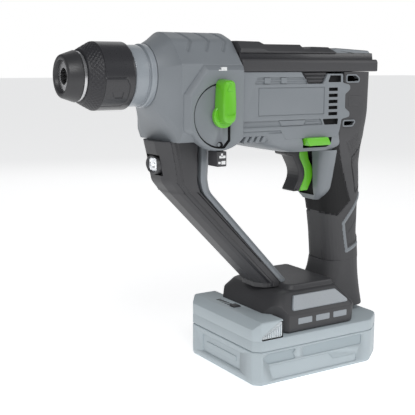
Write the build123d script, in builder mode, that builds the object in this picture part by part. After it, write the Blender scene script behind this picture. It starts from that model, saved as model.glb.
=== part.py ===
from build123d import *
import os
from math import acos, cos, pi, radians, sin, tan

os.makedirs("parts", exist_ok=True)

# A cordless rotary hammer with a hand loop. +X points at the bit, +Y at the selector side, +Z up.
# The origin is under the middle of the battery, on the surface that the battery stands on.

# ------------------------------------------------------------------ driving sizes, millimetres
FOOT_TOP = 62.0          # top of the foot plate
LOOP_HEIGHT = 100.0      # foot plate to the underside of the body
HEAD_X = 62.0            # rear face of the gear head
HEAD_LENGTH = 45.0       # straight part of the gear head
HEAD_HALF = 30.0         # half the width of the gear head
BODY_HALF = 29.0         # half the width of the motor body
REAR_X = -53.0           # rear face of the motor body
WALL = 2.5               # wall of every moulded shell
GRIP_HALF = 17.0         # half the width of the grip
GRIP_SKIN = 2.0          # rubber over the grip
STRUT_HALF = 16.0        # half the width of the front strut
STRUT_DEPTH = 27.2       # strut, front to rear, measured level
SPINE_DEPTH = 8.0        # rear spine of the strut, measured level
SHANK_R = 5.05           # bore for a 10 mm slotted shank
HOLDER_R = 8.5           # outside of the bit holder
TUBE_R = 13.0            # outside of the hammer tube
TUBE_BORE = 10.0         # cylinder in which the piston and the striker run
RUN = 0.08               # radial running clearance
GAP = 0.3                # clearance between moulded pieces
SLEEVE_R = 21.0          # chuck sleeve
SLEEVE_TRAVEL = 5.0
NECK_R = 19.2            # collar behind the chuck
MOTOR_R = 21.0           # motor can
MOTOR_LENGTH = 50.0
SELECTOR_THROW = 6.0     # travel of the clutch sleeve
BATTERY_LENGTH = 118.0
BATTERY_HALF = 43.4      # half the width of the battery
DECK_Z = 32.0            # top of the battery's side walls
LATCH_TRAVEL = 3.0

# ------------------------------------------------------------------ gear train
PRESSURE = radians(25)   # stub teeth at 25 degrees, so that ten teeth need no undercut
BACKLASH = 0.06          # taken off each flank
MOTOR_MODULE, MOTOR_TEETH, LAY_TEETH = 0.8, 10, 28
DRIVE_MODULE, DRIVE_TEETH, SPINDLE_TEETH = 1.2, 14, 32

# ------------------------------------------------------------------ heights and stations
BODY_Z = FOOT_TOP + LOOP_HEIGHT                                    # underside of the body
SPINDLE_Z = BODY_Z + 43.6
LAY_Z = SPINDLE_Z - DRIVE_MODULE * (DRIVE_TEETH + SPINDLE_TEETH) / 2   # intermediate shaft
MOTOR_Z = LAY_Z + MOTOR_MODULE * (MOTOR_TEETH + LAY_TEETH) / 2
PANEL_TOP = BODY_Z + 46.0    # where the light side panel meets the dark top
HEAD_Z = BODY_Z + 2.5        # underside of the gear head
SEAM_X = -24.0               # where the light panel meets the dark rear
NOSE_X = HEAD_X + HEAD_LENGTH            # where the head starts to taper
NECK_X = NOSE_X + 11.0                   # where the taper meets the collar
CHUCK_X = NECK_X + 15.0                  # rear edge of the chuck sleeve
CAP_X = CHUCK_X + 31.7                   # rear edge of the dust cap
HOLDER_END = CHUCK_X + 38.5              # front face of the bit holder
WOBBLE_X = HEAD_X - 1.0
WOBBLE_R = 12.8
FLANGE_X = HEAD_X - 26.0
LAY_GEAR_X = FLANGE_X + 8.0
CLUTCH_X = HEAD_X + 9.0
DRIVE_X = HEAD_X + 22.0                  # spindle pinion and spindle gear
TUBE_X = HEAD_X + 8.0
TUBE_END = HEAD_X + 68.0
SOLID_X = HEAD_X + 36.0                  # the head is solid in front of this
FAN_X = HEAD_X - 40.0
MOTOR_X = HEAD_X - 42.0                  # front face of the motor can
SELECTOR_X, SELECTOR_Z = HEAD_X + 18.0, BODY_Z + 19.0
SELECTOR_Y = HEAD_HALF + 3.2             # face of the selector plate
STRUT_Z = BODY_Z - 31.0                  # seam between the collar and the strut
STRUT_X = HEAD_X + 41.5                  # front of the strut at that seam
FOOT_X = 36.0                            # front of the strut at the foot plate
RAIL_HALF = 40.0                         # outside of the foot's rails
FOOT_Z = 45.0                            # underside of the foot
TOWER_HALF = 33.4                        # battery rail, at its widest
TOWER_NECK = 30.0                        # battery rail, under its lip
BLOCK_X = 33.0                           # rear of the battery's front block


# ------------------------------------------------------------------ helpers
def turn(z, corners, mode=Mode.ADD):
    """A turned shape: (x, radius) corners revolved about the line along X at height z."""
    with BuildSketch(Plane.XZ) as section:
        with BuildLine():
            Polyline(*[(x, z + r) for x, r in corners], close=True)
        make_face()
    revolve(section.sketch, axis=Axis((0, 0, z), (1, 0, 0)), mode=mode)


def ring(z, x0, x1, outer, inner=0.0, mode=Mode.ADD):
    """A plain ring or disc along X, from x0 to x1."""
    turn(z, [(x0, inner), (x1, inner), (x1, outer), (x0, outer)], mode)


def slab(corners, half, mode=Mode.ADD, edge=0.0, shrink=0.0):
    """An (x, z) outline, made smaller by shrink, spread to both sides of the mid-plane.
    The outer edge slopes in by edge over the last stretch of the width."""
    with BuildSketch(Plane.XZ) as outline:
        with BuildLine():
            Polyline(*corners, close=True)
        make_face()
        if shrink:
            offset(amount=-shrink, kind=Kind.INTERSECTION)
    extrude(outline.sketch, amount=half - edge, both=True, mode=mode)
    if edge:
        for side in (1, -1):
            with BuildSketch(Plane.XZ.offset(side * (half - edge))) as outer:
                add(outline.sketch_local)
            with BuildSketch(Plane.XZ.offset(side * half)) as face:
                add(outline.sketch_local)
                offset(amount=-edge, kind=Kind.INTERSECTION)
            loft([outer.sketch.face(), face.sketch.face()], ruled=True, mode=mode)


def block(x, y, z, mode=Mode.ADD):
    """A box between two corners, given as (low, high) along each axis."""
    centre = (sum(x) / 2, sum(y) / 2, sum(z) / 2)
    with Locations(centre):
        Box(x[1] - x[0], y[1] - y[0], z[1] - z[0], mode=mode)


def pin_y(x, z, radius, y0, y1, mode=Mode.ADD):
    """A round pin or hole along Y."""
    with BuildSketch(Plane.XZ.offset(-y0)) as face:
        with Locations((x, z)):
            Circle(radius)
    extrude(face.sketch, amount=y0 - y1, mode=mode)


def gear(z, x0, width, teeth, module, phase, bore):
    """An involute spur gear along X. The first tooth points at the angle phase, from +Y to +Z."""
    pitch = module * teeth / 2
    base, tip, root = pitch * cos(PRESSURE), pitch + 0.8 * module, pitch - 1.05 * module
    spread = pi / (2 * teeth) - BACKLASH / pitch + tan(PRESSURE) - PRESSURE
    start = max(base, root)
    flank = []
    for radius in (start, (start + 2 * tip) / 3, tip):
        roll = acos(base / radius)
        flank.append((radius, spread - tan(roll) + roll))
    if root < base:
        flank.insert(0, (root, spread))
    corners = []
    for tooth in range(teeth):
        middle = phase + 2 * pi * tooth / teeth
        side = [(r, middle - a) for r, a in flank] + [(r, middle + a) for r, a in reversed(flank)]
        corners += [(r * cos(a), z + r * sin(a)) for r, a in side]
    with BuildSketch(Plane.YZ.offset(x0)) as face:
        with BuildLine():
            Polyline(*corners, close=True)
        make_face()
        if bore:
            with Locations((0, z)):
                Circle(bore, mode=Mode.SUBTRACT)
    extrude(face.sketch, amount=width)


def ball_bearing(z, x0, width, inner, outer, balls):
    """Inner ring, outer ring and a circle of balls, each its own solid."""
    race = 0.3 * (outer - inner)
    ring(z, x0, x0 + width, inner + race, inner)
    ring(z, x0, x0 + width, outer, outer - race)
    middle = (inner + outer) / 2
    for count in range(balls):
        angle = 2 * pi * count / balls
        with Locations((x0 + width / 2, middle * cos(angle), z + middle * sin(angle))):
            Sphere((outer - inner) / 2 - race - 0.05)


def oval_column(levels, inset=0.0):
    """A column lofted through rounded sections, each (z, front x, rear x, half width)."""
    faces = []
    for z, front, rear, half in levels:
        middle, depth, width = (front + rear) / 2, (front - rear) / 2 - inset, half - inset
        spots = [(middle + depth * cos(pi * step / 6), width * sin(pi * step / 6)) for step in range(12)]
        with BuildSketch(Plane.XY.offset(z)) as section:
            with BuildLine():
                Spline(*spots, periodic=True)
            make_face()
        faces.append(section.sketch.face())
    loft(faces, ruled=True)


# ------------------------------------------------------------------ gear head
HEAD_TOP = SPINDLE_Z + 29.2
HEAD_SHOULDER = SPINDLE_Z + 7.1
NOSE_DROP = HEAD_Z + 3.5


def head_face(x, top, crown, half, shoulder, waist, foot_half, foot):
    """One cross-section of the head: arched crown, straight flanks, tucked-in foot."""
    with BuildSketch(Plane.YZ.offset(x)) as face:
        with BuildLine():
            ThreePointArc((-crown[0], crown[1]), (0, top), crown)
            Polyline(crown, (half, shoulder), (half, waist), (foot_half, foot), (-foot_half, foot),
                     (-half, waist), (-half, shoulder), (-crown[0], crown[1]))
        make_face()
    return face.sketch.face()


def head_block(inset, x0, x1):
    """The straight part of the head, made smaller by inset."""
    face = head_face(x0, HEAD_TOP - inset, (17.0, SPINDLE_Z + 22.4 - inset), HEAD_HALF - inset,
                     HEAD_SHOULDER - inset / 2, HEAD_Z + 6.0, HEAD_HALF - 5.0 - inset,
                     HEAD_Z + (inset if inset else 0.0))
    extrude(face, amount=x1 - x0)


with BuildPart() as head_outer:
    head_block(0.0, HEAD_X, NOSE_X)
    rear_face = head_face(NOSE_X, HEAD_TOP, (17.0, SPINDLE_Z + 22.4), HEAD_HALF, HEAD_SHOULDER,
                          HEAD_Z + 6.0, HEAD_HALF - 5.0, HEAD_Z)
    front_face = head_face(NECK_X, SPINDLE_Z + 20.4, (12.0, SPINDLE_Z + 16.5), 20.2,
                           SPINDLE_Z + 4.0, SPINDLE_Z - 14.0, 12.0, NOSE_DROP)
    loft([rear_face, front_face], ruled=True)

with BuildPart() as head_cavity:
    head_block(WALL, HEAD_X - 1.0, SOLID_X)

BEARING_X = SOLID_X + 6.0    # spindle bearing
SEAL_X = NECK_X - 5.0
with BuildPart() as head_housing:
    add(head_outer.part)
    add(head_cavity.part, mode=Mode.SUBTRACT)
    ring(SPINDLE_Z, SOLID_X - 1, BEARING_X + 8.0, 18.0, mode=Mode.SUBTRACT)
    ring(SPINDLE_Z, BEARING_X, NECK_X + 1, TUBE_R + 0.6, mode=Mode.SUBTRACT)
    ring(SPINDLE_Z, SEAL_X, NECK_X + 1, 17.0, mode=Mode.SUBTRACT)
    ring(LAY_Z, SOLID_X - 1, SOLID_X + 6.0, 8.0, mode=Mode.SUBTRACT)
    pin_y(SELECTOR_X, SELECTOR_Z, 5.5, 10.0, HEAD_HALF + 1, mode=Mode.SUBTRACT)
    # the wobble ring swings through this notch in the floor
    block((HEAD_X - 1, WOBBLE_X + 7.2), (-9.5, 9.5), (HEAD_Z - 1, HEAD_Z + WALL + 1), mode=Mode.SUBTRACT)
head_housing.part.label = "head_housing"
export_step(head_housing.part, "parts/head_housing.step")

# The collar carries the clamp of a side handle.
with BuildPart() as neck_collar:
    turn(SPINDLE_Z, [(NECK_X, TUBE_R + 0.6), (CHUCK_X - 0.5, TUBE_R + 0.6), (CHUCK_X - 0.5, NECK_R - 0.8),
                     (CHUCK_X - 1.3, NECK_R), (NECK_X + 5.6, NECK_R), (NECK_X + 5.2, NECK_R - 1.2),
                     (NECK_X + 4.2, NECK_R - 1.2), (NECK_X + 3.8, 20.0), (NECK_X + 0.6, 20.0),
                     (NECK_X, 19.4)])
neck_collar.part.label = "neck_collar"
export_step(neck_collar.part, "parts/neck_collar.step")

with BuildPart() as spindle_bearing:
    ball_bearing(SPINDLE_Z, BEARING_X, 8.0, TUBE_R + RUN, 18.0, 14)
    ring(SPINDLE_Z, TUBE_X + 1.0, TUBE_X + 7.0, TUBE_R + 3.0, TUBE_R + RUN)
spindle_bearing.part.label = "spindle_bearing"
export_step(spindle_bearing.part, "parts/spindle_bearing.step")

with BuildPart() as oil_seal:
    turn(SPINDLE_Z, [(SEAL_X, TUBE_R + 1.2), (SEAL_X + 2.0, TUBE_R + RUN), (SEAL_X + 3.0, TUBE_R + RUN),
                     (NECK_X, TUBE_R + 2.0), (NECK_X, 17.0), (SEAL_X, 17.0)])
oil_seal.part.label = "oil_seal"
export_step(oil_seal.part, "parts/oil_seal.step")

# ------------------------------------------------------------------ selector plate, lever and tab
PLATE_FRONT = HEAD_X + 44.2
RECESS_R = 20.5


def selector_outline():
    """The raised pad: straight top, cut front corner, rounded bottom."""
    with BuildLine() as edge:
        Polyline((HEAD_X + 0.3, SELECTOR_Z + 31.4), (HEAD_X + 29.7, SELECTOR_Z + 31.4),
                 (PLATE_FRONT - 0.3, SELECTOR_Z + 13.7), (PLATE_FRONT, SELECTOR_Z - 11.5),
                 (HEAD_X + 39.0, SELECTOR_Z - 15.4))
        ThreePointArc((HEAD_X + 39.0, SELECTOR_Z - 15.4), (SELECTOR_X, SELECTOR_Z - 22.5),
                      (HEAD_X + 3.3, SELECTOR_Z - 18.6))
        Polyline((HEAD_X + 3.3, SELECTOR_Z - 18.6), (HEAD_X + 0.3, SELECTOR_Z - 13.0),
                 (HEAD_X + 0.3, SELECTOR_Z + 31.4))
    make_face(edge.edges())


with BuildPart() as selector_plate:
    with BuildSketch(Plane.XZ.offset(-HEAD_HALF)):
        selector_outline()
    extrude(amount=HEAD_HALF - SELECTOR_Y)
    with BuildSketch(Plane.XZ.offset(-STRUT_HALF - 4.0)):
        selector_outline()
        with Locations((SELECTOR_X, HEAD_Z + 50 - GAP)):
            Rectangle(200, 100, mode=Mode.SUBTRACT)
    extrude(amount=STRUT_HALF + 4.0 - SELECTOR_Y)
    with BuildSketch(Plane.XZ.offset(-SELECTOR_Y)):
        with Locations((SELECTOR_X, SELECTOR_Z)):
            Circle(RECESS_R)
            with Locations((-6.2 - RECESS_R, 0)):
                Rectangle(2 * RECESS_R, 2 * RECESS_R, mode=Mode.SUBTRACT)
    extrude(amount=1.6, mode=Mode.SUBTRACT)
    pin_y(SELECTOR_X, SELECTOR_Z, 5.5, HEAD_HALF - 5, SELECTOR_Y + 1, mode=Mode.SUBTRACT)
selector_plate.part.label = "selector_plate"
export_step(selector_plate.part, "parts/selector_plate.step")

LEVER_HALF = 5.4
LEVER_UP = 17.6
LEVER_Y = SELECTOR_Y + GAP
LEVER_OUT = SELECTOR_Y + 9.8
with BuildPart() as selector_lever:
    with BuildSketch(Plane.XZ.offset(-LEVER_Y)):
        with Locations((SELECTOR_X, SELECTOR_Z + LEVER_UP / 2)):
            SlotCenterToCenter(LEVER_UP, 2 * LEVER_HALF, rotation=90)
        with Locations((SELECTOR_X, SELECTOR_Z)):
            Circle(7.6)
    extrude(amount=LEVER_Y - LEVER_OUT)
    chamfer(selector_lever.faces().sort_by(Axis.Y)[-1].edges(), 1.4)
    pin_y(SELECTOR_X, SELECTOR_Z, 5.5 - RUN, 22.0, LEVER_Y)
    pin_y(SELECTOR_X - SELECTOR_THROW / 2, SELECTOR_Z, 1.5, 17.0, 22.0)
selector_lever.part.label = "selector_lever"
export_step(selector_lever.part, "parts/selector_lever.step")

with BuildPart() as selector_tab:
    block((SELECTOR_X - 3.5, SELECTOR_X + 3.5), (STRUT_HALF + 6.0, SELECTOR_Y),
          (SELECTOR_Z - 32.0, SELECTOR_Z - 22.6))
selector_tab.part.label = "selector_tab"
export_step(selector_tab.part, "parts/selector_tab.step")

# ------------------------------------------------------------------ spindle and chuck
with BuildPart() as spindle_tube:
    ring(SPINDLE_Z, TUBE_X, TUBE_END, TUBE_R, TUBE_BORE)
spindle_tube.part.label = "spindle_tube"
export_step(spindle_tube.part, "parts/spindle_tube.step")

PLUG_X = TUBE_END - 6.5
GUIDE_R = SHANK_R + 0.5
STRIKER_X = TUBE_X + 26.0
BOLT_X = STRIKER_X + 16.4
BOLT_TIP = BOLT_X + 10.5
GUIDE_X = BOLT_TIP + 4.2                    # the bolt's nose stops short of the shank's bore
BALL_X = CHUCK_X + 20.3
BALL_R = 2.9
BALL_REACH = SHANK_R + BALL_R + 0.05        # the balls stand back flush with the bore
with BuildPart() as bit_holder:
    turn(SPINDLE_Z, [(PLUG_X, GUIDE_R), (GUIDE_X, GUIDE_R), (GUIDE_X, SHANK_R), (HOLDER_END, SHANK_R),
                     (HOLDER_END, HOLDER_R + 0.4), (CAP_X + 4.0, HOLDER_R + 0.4),
                     (CAP_X + 4.0, HOLDER_R - 0.8), (CAP_X + 2.0, HOLDER_R - 0.8), (CAP_X + 2.0, HOLDER_R),
                     (TUBE_END + 3.0, HOLDER_R), (TUBE_END + 3.0, TUBE_R - 0.2), (TUBE_END, TUBE_R - 0.2),
                     (TUBE_END, TUBE_BORE), (PLUG_X, TUBE_BORE)])
    for side in (1, -1):
        with BuildSketch(Plane.XY.offset(SPINDLE_Z)) as slot:
            with Locations((BALL_X, 0)):
                SlotCenterToCenter(1.0, 2 * BALL_R + 0.3)
        extrude(slot.sketch, amount=side * 20, mode=Mode.SUBTRACT)
bit_holder.part.label = "bit_holder"
export_step(bit_holder.part, "parts/bit_holder.step")

with BuildPart() as locking_balls:
    for side in (1, -1):
        with Locations((BALL_X, 0, SPINDLE_Z + side * BALL_REACH)):
            Sphere(BALL_R)
locking_balls.part.label = "locking_balls"
export_step(locking_balls.part, "parts/locking_balls.step")

WEB_X = CHUCK_X + 13.6
LAND_X = BALL_X + BALL_R + SLEEVE_TRAVEL + GAP    # the balls stay clear while the sleeve is pulled back
with BuildPart() as locking_sleeve:
    turn(SPINDLE_Z, [(CHUCK_X, NECK_R + 0.6), (CHUCK_X + 10.0, NECK_R + 0.6), (WEB_X - 1.0, NECK_R - 0.6),
                     (WEB_X, HOLDER_R + RUN), (WEB_X + 1.0, HOLDER_R + RUN),
                     (WEB_X + 1.0, BALL_REACH + BALL_R + GAP), (LAND_X, BALL_REACH + BALL_R + GAP),
                     (LAND_X, HOLDER_R + RUN), (CAP_X - 2.4, HOLDER_R + RUN), (CAP_X - 2.4, 16.2),
                     (CHUCK_X + 21.0, SLEEVE_R), (CHUCK_X + 1.2, SLEEVE_R), (CHUCK_X, SLEEVE_R - 0.5)])
locking_sleeve.part.label = "locking_sleeve"
export_step(locking_sleeve.part, "parts/locking_sleeve.step")

SPRING_R = 11.0
SPRING_WIRE = 0.8
with BuildPart() as chuck_spring:
    with BuildLine() as coil:
        Helix(pitch=1.8, height=4.2, radius=SPRING_R, center=(0, 0, 0), direction=(0, 0, 1))
    with BuildSketch(Plane(origin=coil.line @ 0, z_dir=coil.line % 0)):
        Circle(SPRING_WIRE)
    sweep(is_frenet=True)
    placed = chuck_spring.part.rotate(Axis.Y, 90).translate((TUBE_END + 4.0, 0, SPINDLE_Z))
    add(placed, mode=Mode.REPLACE)
chuck_spring.part.label = "chuck_spring"
export_step(chuck_spring.part, "parts/chuck_spring.step")

with BuildPart() as retaining_ring:
    ring(SPINDLE_Z, CAP_X - 2.1, CAP_X - 0.3, 15.2, HOLDER_R)
retaining_ring.part.label = "retaining_ring"
export_step(retaining_ring.part, "parts/retaining_ring.step")

with BuildPart() as dust_cap:
    turn(SPINDLE_Z, [(CAP_X, HOLDER_R), (CAP_X + 2.0, HOLDER_R), (CAP_X + 2.0, HOLDER_R - 0.8),
                     (CAP_X + 4.0, HOLDER_R - 0.8), (CAP_X + 4.0, HOLDER_R + 0.4), (CAP_X + 8.0,
                                                                                    HOLDER_R + 0.6),
                     (CAP_X + 9.0, HOLDER_R + 1.4), (CAP_X + 9.0, 12.2), (CAP_X + 8.2, 12.9),
                     (CAP_X + 1.0, 15.6), (CAP_X, 15.2)])
dust_cap.part.label = "dust_cap"
export_step(dust_cap.part, "parts/dust_cap.step")

with BuildPart() as spindle_gear:
    gear(SPINDLE_Z, DRIVE_X, 10.0, SPINDLE_TEETH, DRIVE_MODULE, -pi / 2 + pi / SPINDLE_TEETH, TUBE_R)
spindle_gear.part.label = "spindle_gear"
export_step(spindle_gear.part, "parts/spindle_gear.step")

# ------------------------------------------------------------------ hammer mechanism
PISTON_X = WOBBLE_X - 6.0
PISTON_FACE = TUBE_X + 12.0
FINGER_R = 2.5
PISTON_PIN_R = 4.5
FINGER_SLOT = FINGER_R + 1.2
with BuildPart() as piston:
    turn(SPINDLE_Z, [(PISTON_X, 0), (PISTON_FACE - 7.0, 0), (PISTON_FACE - 7.0, 8.0), (PISTON_FACE, 8.0),
                     (PISTON_FACE, TUBE_BORE - RUN), (PISTON_X, TUBE_BORE - RUN)])
    pin_y(WOBBLE_X, SPINDLE_Z, PISTON_PIN_R, -12, 12, mode=Mode.SUBTRACT)
    block((PISTON_X - 1, WOBBLE_X + FINGER_SLOT + 1.3), (-FINGER_SLOT, FINGER_SLOT),
          (SPINDLE_Z - 12, SPINDLE_Z + 8), mode=Mode.SUBTRACT)
piston.part.label = "piston"
export_step(piston.part, "parts/piston.step")

with BuildPart() as piston_pin:
    pin_y(WOBBLE_X, SPINDLE_Z, PISTON_PIN_R, -8.6, 8.6)
    block((WOBBLE_X - FINGER_SLOT, WOBBLE_X + FINGER_SLOT), (-FINGER_R - RUN, FINGER_R + RUN),
          (SPINDLE_Z - 8, SPINDLE_Z + 8), mode=Mode.SUBTRACT)
piston_pin.part.label = "piston_pin"
export_step(piston_pin.part, "parts/piston_pin.step")

with BuildPart() as striker:
    turn(SPINDLE_Z, [(STRIKER_X, 0), (STRIKER_X + 16.0, 0), (STRIKER_X + 16.0, 4.6),
                     (STRIKER_X + 12.0, 5.4), (STRIKER_X + 12.0, TUBE_BORE - RUN),
                     (STRIKER_X, TUBE_BORE - RUN)])
striker.part.label = "striker"
export_step(striker.part, "parts/striker.step")

with BuildPart() as impact_bolt:
    turn(SPINDLE_Z, [(BOLT_X, 0), (BOLT_TIP, 0), (BOLT_TIP, GUIDE_R - 0.8), (BOLT_TIP - 1.0, GUIDE_R - RUN),
                     (BOLT_X + 6.4, GUIDE_R - RUN), (BOLT_X + 6.4, TUBE_BORE - RUN),
                     (BOLT_X, TUBE_BORE - RUN)])
impact_bolt.part.label = "impact_bolt"
export_step(impact_bolt.part, "parts/impact_bolt.step")

HUB_R = 8.0
CAGE_R = 9.85
SMALL_BALL = 1.75
with BuildPart() as wobble_ring:
    ring(LAY_Z, WOBBLE_X - 3.0, WOBBLE_X + 3.0, WOBBLE_R, 10.2)
    with BuildSketch(Plane.XZ) as groove:
        with Locations((WOBBLE_X, LAY_Z + CAGE_R)):
            Circle(SMALL_BALL + 0.05)
    revolve(groove.sketch, axis=Axis((0, 0, LAY_Z), (1, 0, 0)), mode=Mode.SUBTRACT)
    finger_length = SPINDLE_Z + 5.0 - LAY_Z - 12.5
    with Locations((WOBBLE_X, 0, LAY_Z + 12.5 + finger_length / 2)):
        Cylinder(FINGER_R, finger_length)
wobble_ring.part.label = "wobble_ring"
export_step(wobble_ring.part, "parts/wobble_ring.step")

with BuildPart() as wobble_balls:
    for count in range(12):
        angle = pi * (count + 0.5) / 6
        with Locations((WOBBLE_X, CAGE_R * cos(angle), LAY_Z + CAGE_R * sin(angle))):
            Sphere(SMALL_BALL)
wobble_balls.part.label = "wobble_balls"
export_step(wobble_balls.part, "parts/wobble_balls.step")

# ------------------------------------------------------------------ intermediate shaft
LAY_R = 4.0
LAY_END = SOLID_X + 5.6
with BuildPart() as intermediate_shaft:
    ring(LAY_Z, FLANGE_X + 1.2, LAY_END, LAY_R)
intermediate_shaft.part.label = "intermediate_shaft"
export_step(intermediate_shaft.part, "parts/intermediate_shaft.step")

with BuildPart() as intermediate_gear:
    gear(LAY_Z, LAY_GEAR_X, 6.0, LAY_TEETH, MOTOR_MODULE, pi / 2, LAY_R)
intermediate_gear.part.label = "intermediate_gear"
export_step(intermediate_gear.part, "parts/intermediate_gear.step")

HUB_COLLAR = 6.0
HUB_FLAT = (HUB_R ** 2 - HUB_COLLAR ** 2) ** 0.5
with BuildPart() as wobble_hub:
    with BuildSketch(Plane.XZ) as hub_profile:
        with BuildLine():
            Polyline((WOBBLE_X + HUB_FLAT, LAY_Z + HUB_COLLAR), (WOBBLE_X + 7.6, LAY_Z + HUB_COLLAR),
                     (WOBBLE_X + 7.6, LAY_Z + LAY_R), (WOBBLE_X - 9.0, LAY_Z + LAY_R),
                     (WOBBLE_X - 9.0, LAY_Z + HUB_COLLAR), (WOBBLE_X - HUB_FLAT, LAY_Z + HUB_COLLAR))
            ThreePointArc((WOBBLE_X - HUB_FLAT, LAY_Z + HUB_COLLAR), (WOBBLE_X, LAY_Z + HUB_R),
                          (WOBBLE_X + HUB_FLAT, LAY_Z + HUB_COLLAR))
        make_face()
    revolve(hub_profile.sketch, axis=Axis((0, 0, LAY_Z), (1, 0, 0)))
wobble_hub.part.label = "wobble_hub"
export_step(wobble_hub.part, "parts/wobble_hub.step")

with BuildPart() as spindle_pinion:
    gear(LAY_Z, DRIVE_X, 10.0, DRIVE_TEETH, DRIVE_MODULE, pi / 2, LAY_R)
spindle_pinion.part.label = "spindle_pinion"
export_step(spindle_pinion.part, "parts/spindle_pinion.step")

CLUTCH_LENGTH = 6.4
with BuildPart() as clutch_sleeve:
    turn(LAY_Z, [(CLUTCH_X, LAY_R + RUN), (CLUTCH_X + CLUTCH_LENGTH, LAY_R + RUN),
                 (CLUTCH_X + CLUTCH_LENGTH, 8.2),
                 (CLUTCH_X + 4.4, 8.2), (CLUTCH_X + 4.4, 6.4), (CLUTCH_X + 2.0, 6.4), (CLUTCH_X + 2.0,
                                                                                       8.2),
                 (CLUTCH_X, 8.2)])
clutch_sleeve.part.label = "clutch_sleeve"
export_step(clutch_sleeve.part, "parts/clutch_sleeve.step")

# The fork straddles the sleeve's groove from the selector side.
with BuildPart() as shift_fork:
    block((CLUTCH_X + 2.3, CLUTCH_X + 4.1), (-2.0, 17.0), (LAY_Z - 7.6, LAY_Z + 9.0))
    ring(LAY_Z, CLUTCH_X, CLUTCH_X + 6.0, 6.4 + GAP, mode=Mode.SUBTRACT)
    block((CLUTCH_X, CLUTCH_X + 6.0), (-9, 0), (LAY_Z - 9, LAY_Z + 12), mode=Mode.SUBTRACT)
    block((CLUTCH_X + 2.3, SELECTOR_X + 4.0), (17.0, 20.6), (SELECTOR_Z - 4.5, SELECTOR_Z + 6.0))
    block((SELECTOR_X - SELECTOR_THROW / 2 - 2.4, SELECTOR_X - SELECTOR_THROW / 2 + 2.4), (16.0, 21.0),
          (SELECTOR_Z - 2.4, SELECTOR_Z + 5.0), mode=Mode.SUBTRACT)
shift_fork.part.label = "shift_fork"
export_step(shift_fork.part, "parts/shift_fork.step")

# ------------------------------------------------------------------ bearing plate
FLANGE_HALF = BODY_HALF - WALL - 0.6
with BuildPart() as inner_flange:
    block((FLANGE_X, FLANGE_X + 6.0), (-FLANGE_HALF, FLANGE_HALF), (HEAD_Z + 0.6, PANEL_TOP - 0.4))
    ring(LAY_Z, FLANGE_X + 1.0, FLANGE_X + 7.0, 8.0, mode=Mode.SUBTRACT)
    ring(MOTOR_Z, FLANGE_X - 1.0, FLANGE_X + 7.0, 7.0, mode=Mode.SUBTRACT)
inner_flange.part.label = "inner_flange"
export_step(inner_flange.part, "parts/inner_flange.step")

with BuildPart() as shaft_bearings:
    ball_bearing(LAY_Z, FLANGE_X + 1.0, 5.0, LAY_R + RUN, 8.0, 8)
    ball_bearing(LAY_Z, SOLID_X, 5.0, LAY_R + RUN, 8.0, 8)
shaft_bearings.part.label = "shaft_bearings"
export_step(shaft_bearings.part, "parts/shaft_bearings.step")

# ------------------------------------------------------------------ motor
MOTOR_REAR = MOTOR_X - MOTOR_LENGTH
ROTOR_R = 14.6
SHAFT_R = 2.5
with BuildPart() as motor_can:
    ring(MOTOR_Z, MOTOR_REAR, MOTOR_X, MOTOR_R)
    ring(MOTOR_Z, MOTOR_REAR + 1.5, MOTOR_X - 1.5, MOTOR_R - 1.5, mode=Mode.SUBTRACT)
    ring(MOTOR_Z, MOTOR_REAR - 1, MOTOR_X + 1, 7.0, mode=Mode.SUBTRACT)
    with BuildSketch(Plane.YZ.offset(MOTOR_REAR - 1)) as vents:
        with Locations((0, MOTOR_Z)):
            with PolarLocations(13.0, 6):
                Circle(3.0)
    extrude(vents.sketch, amount=MOTOR_LENGTH + 2, mode=Mode.SUBTRACT)
motor_can.part.label = "motor_can"
export_step(motor_can.part, "parts/motor_can.step")

with BuildPart() as motor_magnets:
    ring(MOTOR_Z, MOTOR_REAR + 12.0, MOTOR_X - 4.0, MOTOR_R - 1.5, ROTOR_R + 0.6)
    block((MOTOR_REAR, MOTOR_X), (-5, 5), (MOTOR_Z - MOTOR_R, MOTOR_Z + MOTOR_R), mode=Mode.SUBTRACT)
motor_magnets.part.label = "motor_magnets"
export_step(motor_magnets.part, "parts/motor_magnets.step")

with BuildPart() as motor_bearings:
    ball_bearing(MOTOR_Z, MOTOR_REAR - 1.0, 5.0, SHAFT_R + RUN, 7.0, 7)
    ball_bearing(MOTOR_Z, FLANGE_X, 5.0, SHAFT_R + RUN, 7.0, 7)
motor_bearings.part.label = "motor_bearings"
export_step(motor_bearings.part, "parts/motor_bearings.step")

# The shaft's front end is cut as the first pinion.
with BuildPart() as rotor_shaft:
    ring(MOTOR_Z, MOTOR_REAR - 1.0, LAY_GEAR_X - 1.0, SHAFT_R)
    gear(MOTOR_Z, LAY_GEAR_X - 1.0, 8.0, MOTOR_TEETH, MOTOR_MODULE, -pi / 2 + pi / MOTOR_TEETH, 0.0)
rotor_shaft.part.label = "rotor_shaft"
export_step(rotor_shaft.part, "parts/rotor_shaft.step")

ROTOR_X0, ROTOR_X1 = MOTOR_REAR + 14.0, MOTOR_X - 7.0
ROTOR_POLES = 8
with BuildPart() as rotor_core:
    with BuildSketch(Plane.YZ.offset(ROTOR_X0)) as lamination:
        with Locations((0, MOTOR_Z)):
            Circle(ROTOR_R)
            Circle(SHAFT_R, mode=Mode.SUBTRACT)
            with PolarLocations(ROTOR_R - 4.0, ROTOR_POLES):
                Circle(2.6, mode=Mode.SUBTRACT)
            with PolarLocations(ROTOR_R, ROTOR_POLES):
                Rectangle(5.0, 1.6, mode=Mode.SUBTRACT)
    extrude(lamination.sketch, amount=ROTOR_X1 - ROTOR_X0)
rotor_core.part.label = "rotor_core"
export_step(rotor_core.part, "parts/rotor_core.step")

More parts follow.
